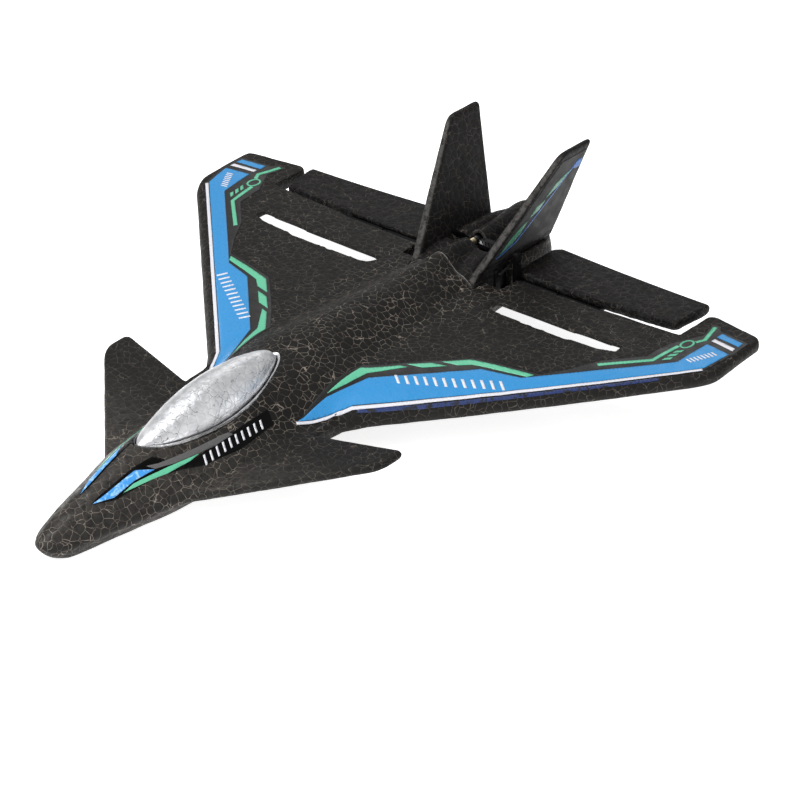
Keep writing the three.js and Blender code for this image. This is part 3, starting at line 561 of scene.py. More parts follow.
def canopy_slab(name, offset, low, high):
    """A slab over the canopy's plan, grown by `offset`, between two heights above its deck."""
    wider, longer = grown(offset)
    rings = []
    for angle in np.linspace(0, math.pi, 49):
        t = share_at(angle)
        across = float(canopy_half_width(t)) * wider
        y = CANOPY_CENTRE + (CANOPY_FRONT + CANOPY_LENGTH * t - CANOPY_CENTRE) * longer
        floor, roof = float(deck(y)) + low, float(deck(y)) + high
        rings.append([(-across, y, roof), (across, y, roof), (across, y, floor), (-across, y, floor)])
    return stitched(name, rings)


# Each opening is a box, as its spans in x, y and z. The recess and the rebate are cut on both sides.
TAIL_SEAT = ((-SEAT_X - 0.3, SEAT_X + 0.3), (SEAM_Y - 0.3, TAIL + 5), (SEAT_Z - 0.3, 60))
BAY = ((-11.5, 11.5), (-62, 78), (-5, 21))
COVER_REBATE = ((-14.3, 14.3), (-68.3, 84.3), (-5, 1.9))
LINK_RECESS = ((18.3, 28.6), (101, WING_REAR + 2), (18.3, 40))
HINGE_REBATE = ((24.6, 76.3), (112.4, WING_REAR + 2), (18, 40))
SCREW_PLACES = [(x, y) for y in (-64.8, 80.8) for x in (-9.8, 9.8)]
SCREW_HOLE_RADIUS = 1.3
SCREW_HOLE_TOP = 9


def side_block(name, box, side):
    """A box that is drawn on the left, on either side of the aircraft."""
    x_span, y_span, z_span = box
    return block(name, sorted((side * x_span[0], side * x_span[1])), y_span, z_span)


def airframe_foam():
    foam = body_plate("airframe_foam", body_top)
    tools = [wing_slot("slot_left", 1, 3.1), wing_slot("slot_right", -1, 8.4)]
    tools.append(block("seat", *TAIL_SEAT))
    tools.append(canopy_slab("canopy_recess", offset=1.8, low=-2.2, high=30))
    for side in (-1, 1):
        tools.append(side_block("link_recess", LINK_RECESS, side))
        tools.append(side_block("hinge_rebate", HINGE_REBATE, side))
    tools += [block("bay", *BAY), block("cover_rebate", *COVER_REBATE)]
    for x, y in SCREW_PLACES:
        tools.append(bar("screw_hole", (x, y, -1), (x, y, SCREW_HOLE_TOP), SCREW_HOLE_RADIUS))
    cut(foam, *tools)
    left = canard("canard_left")
    join(foam, left, mirrored(left, "canard_right"))
    moulded(foam, voxel=0.7, passes=3)
    uneven(foam, height=0.12, size=9, seed=1)
    return foam


# ---------------- tail unit

FIN_FOOT = (16.35, 94.3, 28.5)
FIN_TOP = (32.2, 138.8, 80.1)
FIN_REAR = (16.8, 151.9, 33.8)
FIN_REAR_TOP = (33.1, 160.9, 80.6)
FIN_RISE = FIN_TOP[2] - FIN_FOOT[2]
FIN_LEAN = (FIN_TOP[0] - FIN_FOOT[0]) / FIN_RISE
FIN_RAKE = (FIN_TOP[1] - FIN_FOOT[1]) / FIN_RISE
FIN_REAR_RAKE = (FIN_REAR_TOP[1] - FIN_REAR[1]) / (FIN_REAR_TOP[2] - FIN_REAR[2])
FIN_TIP = FIN_TOP[2] + 0.6
FIN_THINNING = 0.22  # the share of its thickness that a fin loses from foot to top
FIN_TIP_ROUND = 2.2
FIN_FRONT_RADIUS = 1.5
FIN_REAR_RADIUS = 2
FIN_FRONT_CORNER = 4
FIN_REAR_CORNER = 1.8


def fin_centre(z):
    return FIN_FOOT[0] + FIN_LEAN * (z - FIN_FOOT[2])


def fin_half_thickness(z):
    return FIN_THICKNESS / 2 * (1 - FIN_THINNING * float(smooth(0, FIN_RISE, z - FIN_FOOT[2])))


def fin(name):
    """The left fin, as level sections from below the saddle to its tip."""
    rings = []
    for z in spread(24, (72, 34), (FIN_TOP[2] - 3, 6), (FIN_TIP - 0.1, 9)):
        close = min(1, max(0.02, (FIN_TIP - z) / FIN_TIP_ROUND))
        half = fin_half_thickness(z) * math.sqrt(1 - (1 - close) ** 2)
        front = max(FIN_FOOT[1] + FIN_RAKE * (z - FIN_FOOT[2]), FIN_FOOT[1] - 1)
        front += float(corner_inset(z, FIN_TIP, FIN_FRONT_CORNER))
        rear = FIN_REAR[1] + FIN_REAR_RAKE * (z - FIN_REAR[2])
        rear -= float(corner_inset(z, FIN_TIP, FIN_REAR_CORNER))
        edges = (FIN_FRONT_RADIUS, FIN_REAR_RADIUS)
        places, factor = rounded_section(front, rear, *edges, steps=15, edge_steps=6)
        outer = [(fin_centre(z) + half * share, y, z) for y, share in zip(places, factor)]
        inner = [(fin_centre(z) - half * share, y, z) for y, share in zip(places, factor)][1:-1]
        rings.append(outer + inner[::-1])
    fins = stitched(name, rings)
    cut(fins, block("fin_keep", (10, 60), (80, 170), (26, 90)), operation="INTERSECT")
    cut(fins, block("shoulder_clear", (SEAT_X, 30), (80, TAIL), (10, 32.2)))
    return fins


TAIL_BLOCK = ((-SEAT_X, SEAT_X), (SEAM_Y, TAIL + 5), (SEAT_Z, 60))
PROP_SLOT = ((-15.2, 15.2), (113, 121.3), (16.6, 60))
SERVO_POCKET = ((7.1, 17.3), (98.3, 112.7), (5, 25.7))
MOTOR_BORE_RADIUS = 3.2
DUCT_RADIUS = 2.6
SERVO_SHAFT = (106.5, 20.5)
SERVO_SHAFT_HOLE_RADIUS = 1.6


def tail_foam():
    foam = body_plate("tail_foam", tail_top)
    cut(foam, block("seat", *TAIL_BLOCK), operation="INTERSECT")
    tools = [
        block("prop_slot", *PROP_SLOT),
        bar("motor_bore", (0, 96.7, PROP_Z), (0, 114, PROP_Z), MOTOR_BORE_RADIUS),
        bar("duct_mouth", (0, 120.3, PROP_Z), (0, 129.3, PROP_Z), DUCT_RADIUS),
    ]
    for side in (-1, 1):
        start, end = (side * 10, *SERVO_SHAFT), (side * 22, *SERVO_SHAFT)
        tools.append(side_block("servo_pocket", SERVO_POCKET, side))
        tools.append(bar("shaft_hole", start, end, SERVO_SHAFT_HOLE_RADIUS))
    cut(foam, *tools)
    left = fin("fin_left")
    join(foam, left, mirrored(left, "fin_right"))
    moulded(foam, voxel=0.5, passes=3)
    uneven(foam, height=0.1, size=7, seed=2)
    return foam


# ---------------- elevons

ELEVON_INNER = 23.6
ELEVON_SLANT = 112.5
ELEVON_OUTER = 116
ELEVON_CHAMFER = 4
ELEVON_REAR_INNER = 150.6
ELEVON_REAR_OUTER = 139.6
ELEVON_END_SLANT = 20.1
ELEVON_CORNER = 1.5
HINGE_GROOVE_X = (22.9, 76.4)
HINGE_GROOVE_RADIUS = 1.8
TONGUE_GROOVE = ((26.4, 73.3), (HINGE_Y, 121.3), (22.7, 24.5))
HORN_NOTCH = ((25, 27.6), (HINGE_Y, 118.2), (18, 40))


def warp_lift(x, y):
    """How far the warped left elevon stands above the wing's line."""
    return WARP_ROOT + (x - WARP_X) * (WARP_SLOPE + WARP_TWIST * (y - ELEVON_FRONT))


def elevon_foam(name, side, seed):
    """One elevon, drawn on the left and mirrored for side -1."""
    inner, slant, outer = ELEVON_INNER, ELEVON_SLANT, ELEVON_OUTER
    taper = (ELEVON_REAR_OUTER - ELEVON_REAR_INNER) / (outer - inner)

    def front(x):
        return ELEVON_FRONT + ELEVON_END_SLANT * np.maximum(0, x - slant) / (outer - slant)

    def rear(x):
        chamfer = np.maximum(0, inner + ELEVON_CHAMFER - x)
        return ELEVON_REAR_INNER + taper * (x - inner) - chamfer - corner_inset(x, outer, ELEVON_CORNER)

    def top(x, y):
        return wing_top(x) + (warp_lift(x, y) if side > 0 else 0 * y)

    foam = plate(
        name,
        columns=spread(inner, (inner + ELEVON_CHAMFER, 9), (slant, 44), (outer - 1, 5), (outer, 5)),
        front=front,
        rear=rear,
        top=top,
        bottom=lambda x, y: top(x, y) - ELEVON_THICKNESS,
        radius=lambda x: 1.6,
        rear_radius=lambda x: 2.4,
        max_lean=lambda x: 5,
        steps=14,
        tips=(True, True),
        end_radius=1.3,
    )
    cut(
        foam,
        bar("hinge_groove", *[(x, HINGE_Y, HINGE_Z) for x in HINGE_GROOVE_X], HINGE_GROOVE_RADIUS),
        block("tongue_groove", *TONGUE_GROOVE),
        block("horn_notch", *HORN_NOTCH),
    )
    moulded(foam, voxel=0.5, passes=3)
    roughen_front(foam, seed)
    if side > 0:
        return foam
    other = mirrored(foam, name + "_m")
    discard(foam)
    other.name = name
    shade_smooth(other)
    return other


def roughen_front(foam, seed):
    """The elevon's front edge was cut from the sheet, so it shows torn beads."""
    places = positions(foam)
    facing = np.clip(-normals(foam)[:, 1], 0, 1) * (places[:, 1] < 121)
    rough = np.array([noise.noise(Vector(p) / 1.6 + Vector((seed, 0, 0))) for p in places])
    coarse = np.array([noise.noise(Vector(p) / 5 + Vector((0, seed, 0))) for p in places])
    places[:, 1] += facing * (0.35 + 0.55 * rough + 0.45 * coarse)
    set_positions(foam, places)


# ---------------- canopy


def canopy_point(t, angle):
    """A point on the canopy's skin: t runs nose to tail, angle 0 to pi across it."""
    y = CANOPY_FRONT + CANOPY_LENGTH * t
    height = max(0, float(canopy_top(y) - deck(y)))
    return (-float(canopy_half_width(t)) * math.cos(angle), y, float(deck(y)) + height * math.sin(angle))


CANOPY_SECTIONS = 150
CANOPY_ARC = 72
CANOPY_WALL = 1.2
CANOPY_INNER_SHARE = 0.9
CANOPY_FOOT = 1


def canopy_skin():
    """A hollow shell with a flat foot that sinks a little way into its recess."""
    rings = []
    for i in range(CANOPY_SECTIONS + 1):
        t = share_at(math.pi * i / CANOPY_SECTIONS)
        outer = [canopy_point(t, math.pi * k / CANOPY_ARC) for k in range(CANOPY_ARC + 1)]
        sole = float(deck(outer[0][1])) - CANOPY_FOOT
        inner = [(x * CANOPY_INNER_SHARE, y, max(z - CANOPY_WALL, sole)) for x, y, z in outer]
        left_foot = [(side[-1][0], side[-1][1], outer[-1][2] - CANOPY_FOOT) for side in (outer, inner)]
        right_foot = [(side[0][0], side[0][1], outer[0][2] - CANOPY_FOOT) for side in (inner, outer)]
        rings.append(outer + left_foot + inner[::-1] + right_foot)
    skin = stitched("canopy_skin", rings)
    shade_smooth(skin)
    crinkle(skin)
    return skin


MEAN_CRINKLE = 0.2


def crinkle(skin):
    """Foil over beads: shallow facets with fine creases, deeper towards the left and the rear."""
    places, facing = positions(skin), normals(skin)
    height = np.empty(len(places))
    for i, place in enumerate(places):
        spot = Vector(place)
        bend = Vector((noise.noise(spot / 3), noise.noise(spot / 3 + Vector((9, 0, 0))), 0)) * 1.2
        near = noise.voronoi((spot + bend) / 3.4)[0]
        dent = min(1, (near[1] - near[0]) / 0.16)
        fine = noise.voronoi((spot + bend) / 1.5 + Vector((5, 5, 5)))[0]
        crease = min(1, (fine[1] - fine[0]) / 0.25)
        wave = noise.noise(spot / 6)
        height[i] = 0.11 * dent + 0.05 * crease + 0.16 * wave - MEAN_CRINKLE
    calm = 0.45 + 0.55 * smooth(-6, 6, places[:, 0] + 0.12 * (places[:, 1] + 60))
    set_positions(skin, places + facing * (height * calm)[:, None])


RIM_OUT = 2
RIM_IN = 0.9
RIM_POINTS = 240


def canopy_rim():
    """The ragged lip of foil round the canopy's recess."""
    centre = np.array([0, CANOPY_CENTRE])
    sections = []
    for i in range(RIM_POINTS):
        t = share_at(2 * math.pi * i / RIM_POINTS)
        side = 1 if i < RIM_POINTS / 2 else -1
        point = np.array([side * float(canopy_half_width(t)), CANOPY_FRONT + CANOPY_LENGTH * t])
        ragged = 0.5 * noise.noise(Vector((i * 0.35, 3, 0))) + 0.4 * noise.noise(Vector((i * 1.1, 9, 0)))
        width = RIM_IN + (RIM_OUT - RIM_IN) * (0.2 + 0.8 * float(smooth(-80, -40, point[1])))
        outer = centre + (point - centre) * grown(width)
        inner = centre + (point - centre) * grown(RIM_IN)
        inner = inner + (outer - inner) * 0.3 * max(0, ragged)
        z_out = max(float(deck(outer[1])), float(body_top(outer[0], outer[1]))) + 0.2 + 0.25 * ragged
        z_in = float(deck(inner[1])) + 0.05
        sections += [(*outer, z_out), (*inner, z_in), (*inner, z_in - 1.3), (*outer, z_out - 1.5)]
    faces = []
    for i in range(0, len(sections), 4):
        k = (i + 4) % len(sections)
        for j in range(4):
            n = (j + 1) % 4
            faces.append((i + j, i + n, k + n, k + j))
    rim = new_object("canopy_lip", sections, faces)
    face_outwards(rim)
    return rim


# ---------------- materials

LINEAR_BELOW = 11 / 255  # darker levels than this lie on the straight start of the sRGB curve


def srgb(red, green, blue):
    """A colour given as on a screen, 0 to 255, as the linear values that sockets take."""
    linear = []
    for share in (red / 255, green / 255, blue / 255):
        linear.append(share / 12.92 if share < LINEAR_BELOW else ((share + 0.055) / 1.055) ** 2.4)
    return (*linear, 1)


def scaled(color, factor):
    return srgb(*[min(255, level * factor) for level in color])


class Look:
    """A node material under construction."""

    def __init__(self, name, **sockets):
        self.material = bpy.data.materials.new(name)
        self.material.use_nodes = True
        self.tree = self.material.node_tree
        self.shader = self.tree.nodes["Principled BSDF"]
        for socket, value in sockets.items():
            self.shader.inputs[socket.replace("_", " ")].default_value = value
        self.place = self.node("ShaderNodeTexCoord").outputs["Object"]

    def node(self, kind, inputs=(), **settings):
        made = self.tree.nodes.new(kind)
        for key, value in settings.items():
            setattr(made, key, value)
        for key, value in dict(inputs).items():
            self.feed(made.inputs[key], value)
        return made

    def feed(self, socket, value):
        if isinstance(value, bpy.types.NodeSocket):
            self.tree.links.new(value, socket)
        else:
            socket.default_value = value

    def math(self, operation, a, b=0.0):
        return self.node("ShaderNodeMath", {0: a, 1: b}, operation=operation).outputs[0]

    def vector_math(self, operation, inputs):
        return self.node("ShaderNodeVectorMath", inputs, operation=operation).outputs[0]

    def noise(self, size, detail=3.0, rough=0.5, place=None):
        """Noise from 0 to 1 with features of `size` millimetres."""
        inputs = {"Vector": place or self.place, "Scale": 1 / (size * MM)}
        inputs |= {"Detail": detail, "Roughness": rough}
        return self.node("ShaderNodeTexNoise", inputs).outputs["Fac"]

    def patches(self, size, low=0.0, high=1.0, detail=3.0):
        """Soft patches of about `size` millimetres, from low to high."""
        return self.ramp(self.noise(size, detail), 0.3, 0.7, low, high)

    def cells(self, place, size, feature="DISTANCE_TO_EDGE", evenness=0.0):
        inputs = {"Vector": place, "Scale": 1 / (size * MM), "Randomness": 1 - evenness}
        return self.node("ShaderNodeTexVoronoi", inputs, feature=feature).outputs["Distance"]

    def axis(self, name):
        return self.node("ShaderNodeSeparateXYZ", {0: self.place}).outputs[name]

    def ramp(self, value, start, end, low=0.0, high=1.0):
        """The value eased from low at start to high at end."""
        inputs = {0: value, 1: start, 2: end, 3: low, 4: high}
        return self.node("ShaderNodeMapRange", inputs, interpolation_type="SMOOTHSTEP").outputs[0]

    def mix(self, share, first, second):
        mixer = self.node("ShaderNodeMix", data_type="RGBA")
        self.feed(mixer.inputs[0], share)
        self.feed(mixer.inputs[6], first)
        self.feed(mixer.inputs[7], second)
        return mixer.outputs[2]

    def wobbled(self, size, amount):
        """The place, shifted by noise, so that cells have uneven edges."""
        inputs = {"Vector": self.place, "Scale": 1 / (size * MM), "Detail": 2.0}
        shift = self.node("ShaderNodeTexNoise", inputs).outputs["Color"]
        shift = self.vector_math("SUBTRACT", {0: shift, 1: (0.5, 0.5, 0.5)})
        shift = self.vector_math("SCALE", {0: shift, 3: amount * MM})
        return self.vector_math("ADD", {0: self.place, 1: shift})

    def bump(self, height, distance, strength, under=None):
        inputs = {"Height": height, "Distance": distance * MM, "Strength": strength}
        if under:
            inputs["Normal"] = under
        return self.node("ShaderNodeBump", inputs).outputs[0]

    def finish(self, color, roughness, normal=None):
        for socket, value in (("Base Color", color), ("Roughness", roughness), ("Normal", normal)):
            if value is not None:
                self.feed(self.shader.inputs[socket], value)
        return self.material


BEAD = 3.5
BODY_EDGE = 20  # the foam's lines grow fainter from here ...
WING_ROOT = 42  # ... to here, outboard
NOSE_SHEEN_FROM = (-45, -95)  # painted sheen: the nose's upward faces are painted paler between these places and ahead of them
# painted highlight colour for edges that face forward
EDGE_SHEEN_COLOR = (80, 78, 76)


def foam_look(name, dark, line, line_strength, calm=1.0, edge_sheen_share=0.0):
    """Expanded-bead foam: dark beads with thin, broken, paler lines where they meet.

    The lines are dimmer on the wings, `calm` times as strong as on the body. Edges that face forward
    get a painted highlight, `edge_sheen_share` strong, and the nose's upward faces a painted sheen.
    """
    look = Look(name, Specular_IOR_Level=0.16)
    bead_gap = look.cells(look.wobbled(2.2, 0.9), BEAD, evenness=0.15)
    seam = look.ramp(bead_gap, 0.006, 0.032, 1.0, 0.0)
    broken = look.ramp(look.noise(7, 4.0, 0.6), 0.36, 0.6, 0.22, 1.0)
    fine = look.ramp(look.noise(1.1, 2.0), 0.3, 0.6, 0.45, 1.0)
    strength = look.math("MULTIPLY", look.math("MULTIPLY", seam, broken), fine)
    outboard = look.math("ABSOLUTE", look.axis("X"))
    share = look.ramp(outboard, BODY_EDGE * MM, WING_ROOT * MM, line_strength, line_strength * calm)
    strength = look.math("MULTIPLY", strength, share)
    ground = look.mix(look.patches(14), srgb(*dark), scaled(dark, 1.2))
    grain = look.ramp(look.noise(0.45, 2.0, 0.7), 0.35, 0.75)
    ground = look.mix(look.math("MULTIPLY", grain, 0.3), ground, scaled(dark, 1.7))
    normal = look.node("ShaderNodeNewGeometry").outputs["Normal"]
    facing = look.node("ShaderNodeSeparateXYZ", {0: normal}).outputs
    # painted sheen: upward-facing surfaces of the nose are painted paler where the lamps light them; the
    # lower roughness there is the foam's own satin
    forward = look.ramp(look.axis("Y"), *[y * MM for y in NOSE_SHEEN_FROM])
    nose_sheen = look.math("MULTIPLY", forward, look.ramp(look.noise(4, 4.0, 0.7), 0.25, 0.6))
    nose_sheen = look.math("MULTIPLY", nose_sheen, look.ramp(facing["Z"], 0.3, 0.85, 0.2, 1.0))
    ground = look.mix(look.math("MULTIPLY", nose_sheen, 0.5), ground, scaled(dark, 3.6))
    # painted highlight: faces turned forward, such as the fins' leading edges, are painted paler
    edge_sheen = look.ramp(facing["Y"], -0.45, -0.7)
    edge_sheen = look.math("MULTIPLY", edge_sheen, look.ramp(look.noise(2.5, 4.0, 0.7), 0.3, 0.6))
    ground = look.mix(look.math("MULTIPLY", edge_sheen, edge_sheen_share), ground, srgb(*EDGE_SHEEN_COLOR))
    color = look.mix(strength, ground, srgb(*line))
    gloss = look.math("SUBTRACT", look.patches(3, 0.5, 0.66), look.math("MULTIPLY", nose_sheen, 0.22))
    normal = look.bump(look.ramp(bead_gap, 0.0, 0.28), 0.16, 0.55)
    normal = look.bump(strength, 0.05, 0.5, normal)
    normal = look.bump(look.noise(0.5, 2.0, 0.6), 0.05, 0.5, normal)
    return look.finish(color, gloss, normal)


def film_look(name, color, gloss=0.3, ripple=0.12, grain=0.05, shine=0.5):
    """Printed film laid on foam: flat ink that follows the beads beneath."""
    look = Look(name, Specular_IOR_Level=shine)
    speck = look.ramp(look.noise(0.35, 2.0, 0.7), 0.3, 0.7, 0.0, grain)
    shade = look.mix(look.patches(16, 0.0, 0.25, 2.0), srgb(*color), scaled(color, 0.93))
    ink = look.mix(speck, shade, srgb(255, 255, 255))
    normal = look.bump(look.cells(look.wobbled(2.2, 1.1), 4.6, "F1"), ripple, 0.5)
    normal = look.bump(look.noise(2.5, 2.0), ripple, 0.4, normal)
    return look.finish(ink, look.patches(5, gloss - 0.05, gloss + 0.12), normal)


def flash_look(name, color, flash, size=3):
    """Printed film with a second tone in ragged patches."""
    look = Look(name, Specular_IOR_Level=0.5)
    inputs = {"Vector": look.place, "Scale": 1 / (size * MM), "Detail": 4.0, "Roughness": 0.6}
    ragged = look.node("ShaderNodeTexNoise", inputs | {"Distortion": 1.2}).outputs["Fac"]
    ink = look.mix(look.ramp(ragged, 0.5, 0.6), srgb(*color), srgb(*flash))
    return look.finish(ink, look.patches(5, 0.3, 0.45), look.bump(look.noise(2.5, 2.0), 0.1, 0.4))


def foil_look(name):
    """Crinkled silver film, with dark cracks where it split over the beads."""
    look = Look(name, Metallic=0.92)
    gap = look.cells(look.wobbled(2.5, 1.6), 3.6)
    split = look.ramp(gap, 0.0, 0.022, 1.0, 0.0)
    where = look.ramp(look.noise(7, 3.0), 0.38, 0.55)
    where = look.math("MULTIPLY", where, look.ramp(look.axis("X"), -2 * MM, 5 * MM, 0.15, 1.0))
    crack = look.math("MULTIPLY", split, where)
    silver = look.mix(look.patches(6), srgb(222, 223, 226), srgb(244, 245, 247))
    color = look.mix(look.math("MULTIPLY", crack, 0.9), silver, srgb(46, 44, 44))
    normal = look.bump(look.ramp(gap, 0.0, 0.2), 0.1, 0.4)
    normal = look.bump(look.noise(1.3, 3.0, 0.6), 0.07, 0.45, normal)
    normal = look.bump(crack, -0.12, 0.6, normal)
    return look.finish(color, look.patches(2.2, 0.34, 0.5), normal)


def plastic_look(name, color, roughness, texture=0.02, size=0.5, shine=0.5):
    """Moulded plastic, with a fine skin texture and slightly uneven gloss."""
    look = Look(name, Specular_IOR_Level=shine)
    lighter = srgb(*[min(255, level * 1.25 + 2) for level in color])
    shade = look.mix(look.patches(4), srgb(*color), lighter)
    gloss = look.patches(2.5, max(0.03, roughness - 0.05), roughness + 0.08)
    return look.finish(shade, gloss, look.bump(look.noise(size, 2.0), texture, 0.5))


def metal_look(name, color, roughness):
    """Drawn or turned metal: fine lines along one direction and a faint tarnish."""
    look = Look(name, Metallic=1.0)
    drawn_out = look.node("ShaderNodeMapping", {"Vector": look.place, "Scale": (1, 60, 1)})
    lines = look.noise(1.5, 3.0, 0.6, drawn_out.outputs["Vector"])
    tarnish = look.ramp(look.noise(3, 3.0), 0.4, 0.75, 0.0, 0.35)
    shade = look.mix(tarnish, srgb(*color), scaled(color, 0.7))
    gloss = look.ramp(lines, 0.3, 0.7, roughness - 0.06, roughness + 0.12)
    return look.finish(shade, gloss, look.bump(lines, 0.01, 0.4))


def board_look(name):
    """Solder mask with faint copper tracks under it."""
    look = Look(name)
    inputs = {"Vector": look.place, "Scale": 1 / (5 * MM), "Mortar Size": 0.04}
    tracks = look.node("ShaderNodeTexBrick", inputs).outputs["Fac"]
    color = look.mix(look.math("MULTIPLY", tracks, 0.5), srgb(18, 82, 46), srgb(70, 130, 70))
    return look.finish(color, look.patches(2, 0.25, 0.4), look.bump(tracks, 0.03, 0.6))


# ---------------- stickers

STEP = 1.2  # spacing of a sticker's points, so that it follows the foam


def settled(places, skin, towards):
    """The points moved along `towards` until they lie on the foam's finished skin."""
    direction = Vector(towards)
    moved = []
    for place in places:
        start = (Vector(place) + direction * 5) * MM
        hit = skin.ray_cast(start, -direction, 10 * MM)[0]
        moved.append(hit / MM if hit else place)
    return np.array(moved)


def sheet(name, outline, surface, skin, towards, lift, thickness=0.07):
    """Thin film over an outline of (u, v) points, laid near surface(u, v) on the skin, facing `towards`."""
    mesh = bmesh.new()
    corners = [mesh.verts.new((u, v, 0)) for u, v in outline]
    mesh.faces.new(corners)
    for axis in (0, 1):
        low = min(corner[axis] for corner in outline)
        high = max(corner[axis] for corner in outline)
        for place in np.arange(low + STEP, high, STEP):
            point, direction = [0, 0, 0], [0, 0, 0]
            point[axis], direction[axis] = place, 1
            parts = mesh.verts[:] + mesh.edges[:] + mesh.faces[:]
            bmesh.ops.bisect_plane(mesh, geom=parts, plane_co=point, plane_no=direction, dist=1e-5)
    bmesh.ops.triangulate(mesh, faces=mesh.faces[:])
    flat = [(vertex.co.x, vertex.co.y) for vertex in mesh.verts]
    faces = [[vertex.index for vertex in face.verts] for face in mesh.faces]
    rim = [tuple(vertex.index for vertex in edge.verts) for edge in mesh.edges if edge.is_boundary]
    mesh.free()
    places = np.array([surface(u, v) for u, v in flat])
    across = np.array([surface(u + 0.05, v) for u, v in flat]) - places
    along = np.array([surface(u, v + 0.05) for u, v in flat]) - places
    outwards = np.cross(across, along)
    outwards /= np.linalg.norm(outwards, axis=1)[:, None]
    if np.dot(outwards.mean(axis=0), towards) < 0:
        outwards = -outwards
    count = len(flat)
    places = settled(places, skin, towards)
    upper = places + outwards * lift
    lower = places + outwards * (lift - thickness)
    walls = [(a, b, b + count, a + count) for a, b in rim]
    under = [[index + count for index in reversed(face)] for face in faces]
    film = new_object(name, np.concatenate([upper, lower]), faces + under + walls)
    face_outwards(film)
    shade_smooth(film)
    return film


def on_body(side):
    return lambda x, y: (side * x, y, float(body_top(x, y)))


def fin_face(side):
    """The fin's outboard face, from (y, z) in the fin's side view."""
    return lambda y, z: (side * (fin_centre(z) + fin_half_thickness(z)), y, z)


def strip(points, width):
    """The outline of a band of this width along a line of points."""
    line = np.array(points, float)
    along = np.gradient(line, axis=0)
    along /= np.linalg.norm(along, axis=1)[:, None]
    across = np.stack([-along[:, 1], along[:, 0]], axis=1) * width / 2
    return [tuple(p) for p in np.concatenate([line + across, (line - across)[::-1]])]


def slanted_bars(start, end, count, length, width, lean):
    """Short slanted bars in a row, in place of lettering."""
    start, end = np.array(start, float), np.array(end, float)
    along = (end - start) / np.hypot(*(end - start))
    across = np.array([-along[1], along[0]])
    bars = []
    for i in range(count):
        centre = start + (end - start) * (i + 0.5) / count
        reach = (across + along * lean) * length / 2
        side = along * width / 2
        corners = (-reach - side, side - reach, reach + side, reach - side)
        bars.append([tuple(centre + corner) for corner in corners])
    return bars


WING_BLUE = [
    (26.2, -35.5), (38, -13), (60, 9.6), (100, 50.4), (143, 94.6), (145.6, 109.4), (132.8, 112),
    (130.9, 92.2), (95.6, 55.7), (84, 43.5), (67.2, 37.3), (33.8, 2), (27.6, -18.5),
]
WING_WHITE = [(26.6, -37), (38.3, -14.4), (60, 8), (100, 49), (143.2, 93.2)]
WING_WHITE_WIDTH = 1.5
WING_EDGE_LINE = [(40.6, -13.8), (61.5, 6.4), (101.5, 47.4), (131.5, 78)]
WING_EDGE_WIDTH = 1.7
WING_BASE = [
    (26.2, -36.2), (38, -13.6), (60, 8.8), (100, 49.6), (144.2, 93.8), (147.2, 109), (147.4, 122),
    (130.8, 125.6), (128.3, 129.4), (124, 128.6), (126.4, 118), (119, 104), (117.4, 88.6), (104, 74.4),
    (96.2, 60.6), (88.6, 50), (58.4, 42.4), (39, 22.2), (26.4, 7), (24.8, -14),
]
WING_GREENS = [
    [(26.8, -17.4), (29.2, -8.2), (31.4, 3.9), (41.6, 18.6), (37.9, 17.4), (27.2, 4.6), (26.9, -8)],
    [(39.8, 20.3), (46.8, 22.2), (54.2, 30), (47.6, 28.2)],
    [(50, 31.4), (57.4, 33.2), (62, 37.5), (85.6, 45.4), (87.2, 48.3), (58.8, 40.6)],
]
TIP_LINE = [(104.4, 70.6), (121.4, 87.4), (123.6, 103.6)]
TIP_LINE_END = [(127.6, 110.8), (129.7, 114.8), (126.6, 127.4)]
TIP_LINE_WIDTH = 1.9
TIP_RING = (125.6, 107.2)
TIP_BARS = [
    [(124.6, 89.6), (127.4, 92.2), (127.2, 94.4), (124.7, 91.6)],
    [(124.8, 93.2), (127.4, 95.8), (127.4, 98.2), (124.9, 95.6)],
    [(125, 97.2), (127.6, 99.6), (127.9, 102), (125.1, 99.4)],
]
TIP_BLUE = [(145.3, 120.8), (132.7, 123.8), (132.5, 119.8), (145.6, 117)]
TIP_WHITE = [(145.2, 114.8), (132.9, 117.6), (132.8, 115.2), (145.4, 112.4)]
NOSE_BLUE = [(5.6, -137.6), (6, -134), (7.6, -114.6), (11.6, -107.1), (9.8, -117.6), (9, -128.6)]
NOSE_GREEN = [(10, -124.2), (10.2, -118.4), (12.6, -107), (16.3, -85.6), (16.4, -91.3), (15, -103.4)]
NOSE_BASE = [
    (5.4, -138.4), (5.2, -133.6), (6.6, -114), (8, -104.4), (13.4, -98.2), (16.6, -88), (17.2, -67),
    (16.9, -44), (22.6, -46.6), (23.4, -68), (20.4, -86.4), (17, -96.4), (13.4, -110), (9.9, -128.6),
]
NOSE_CLEAR = [
    (9, -109.5), (11.5, -106.9), (14, -97.8), (16.1, -86.2), (17.4, -77.3), (17.8, -66.6), (16.3, -68),
    (15.4, -75), (14.5, -83.2), (12.9, -93.5), (10.8, -104.4),
]
FIN_FILM = [(101.4, 34), (139.2, 76.4), (157.4, 76.8), (151.9, 36)]
FIN_BLUE_LINE = [(107, 36.6), (113.4, 38.4), (119.4, 40.6), (132.6, 52.2), (151, 70)]
FIN_BLUE_PATCH = [(149.6, 69.6), (152.8, 72.6), (156.6, 72.4), (155.9, 68.2), (152.6, 68)]
FIN_GREENS = [
    [(108.8, 38), (113.8, 43.8), (120.8, 49), (124.6, 50.2), (120.8, 44), (116.6, 41)],
    [(125.2, 51.4), (128.8, 56.4), (134.6, 58), (131.6, 53.4)],
    [(133.8, 58.6), (139.4, 64.6), (146.6, 67.9), (149.7, 68.7), (141.6, 62.1)],
]

UP = (0, 0, 1)
BASE_LIFT = 0.14
INK_LIFT = 0.22
TOP_LIFT = 0.3


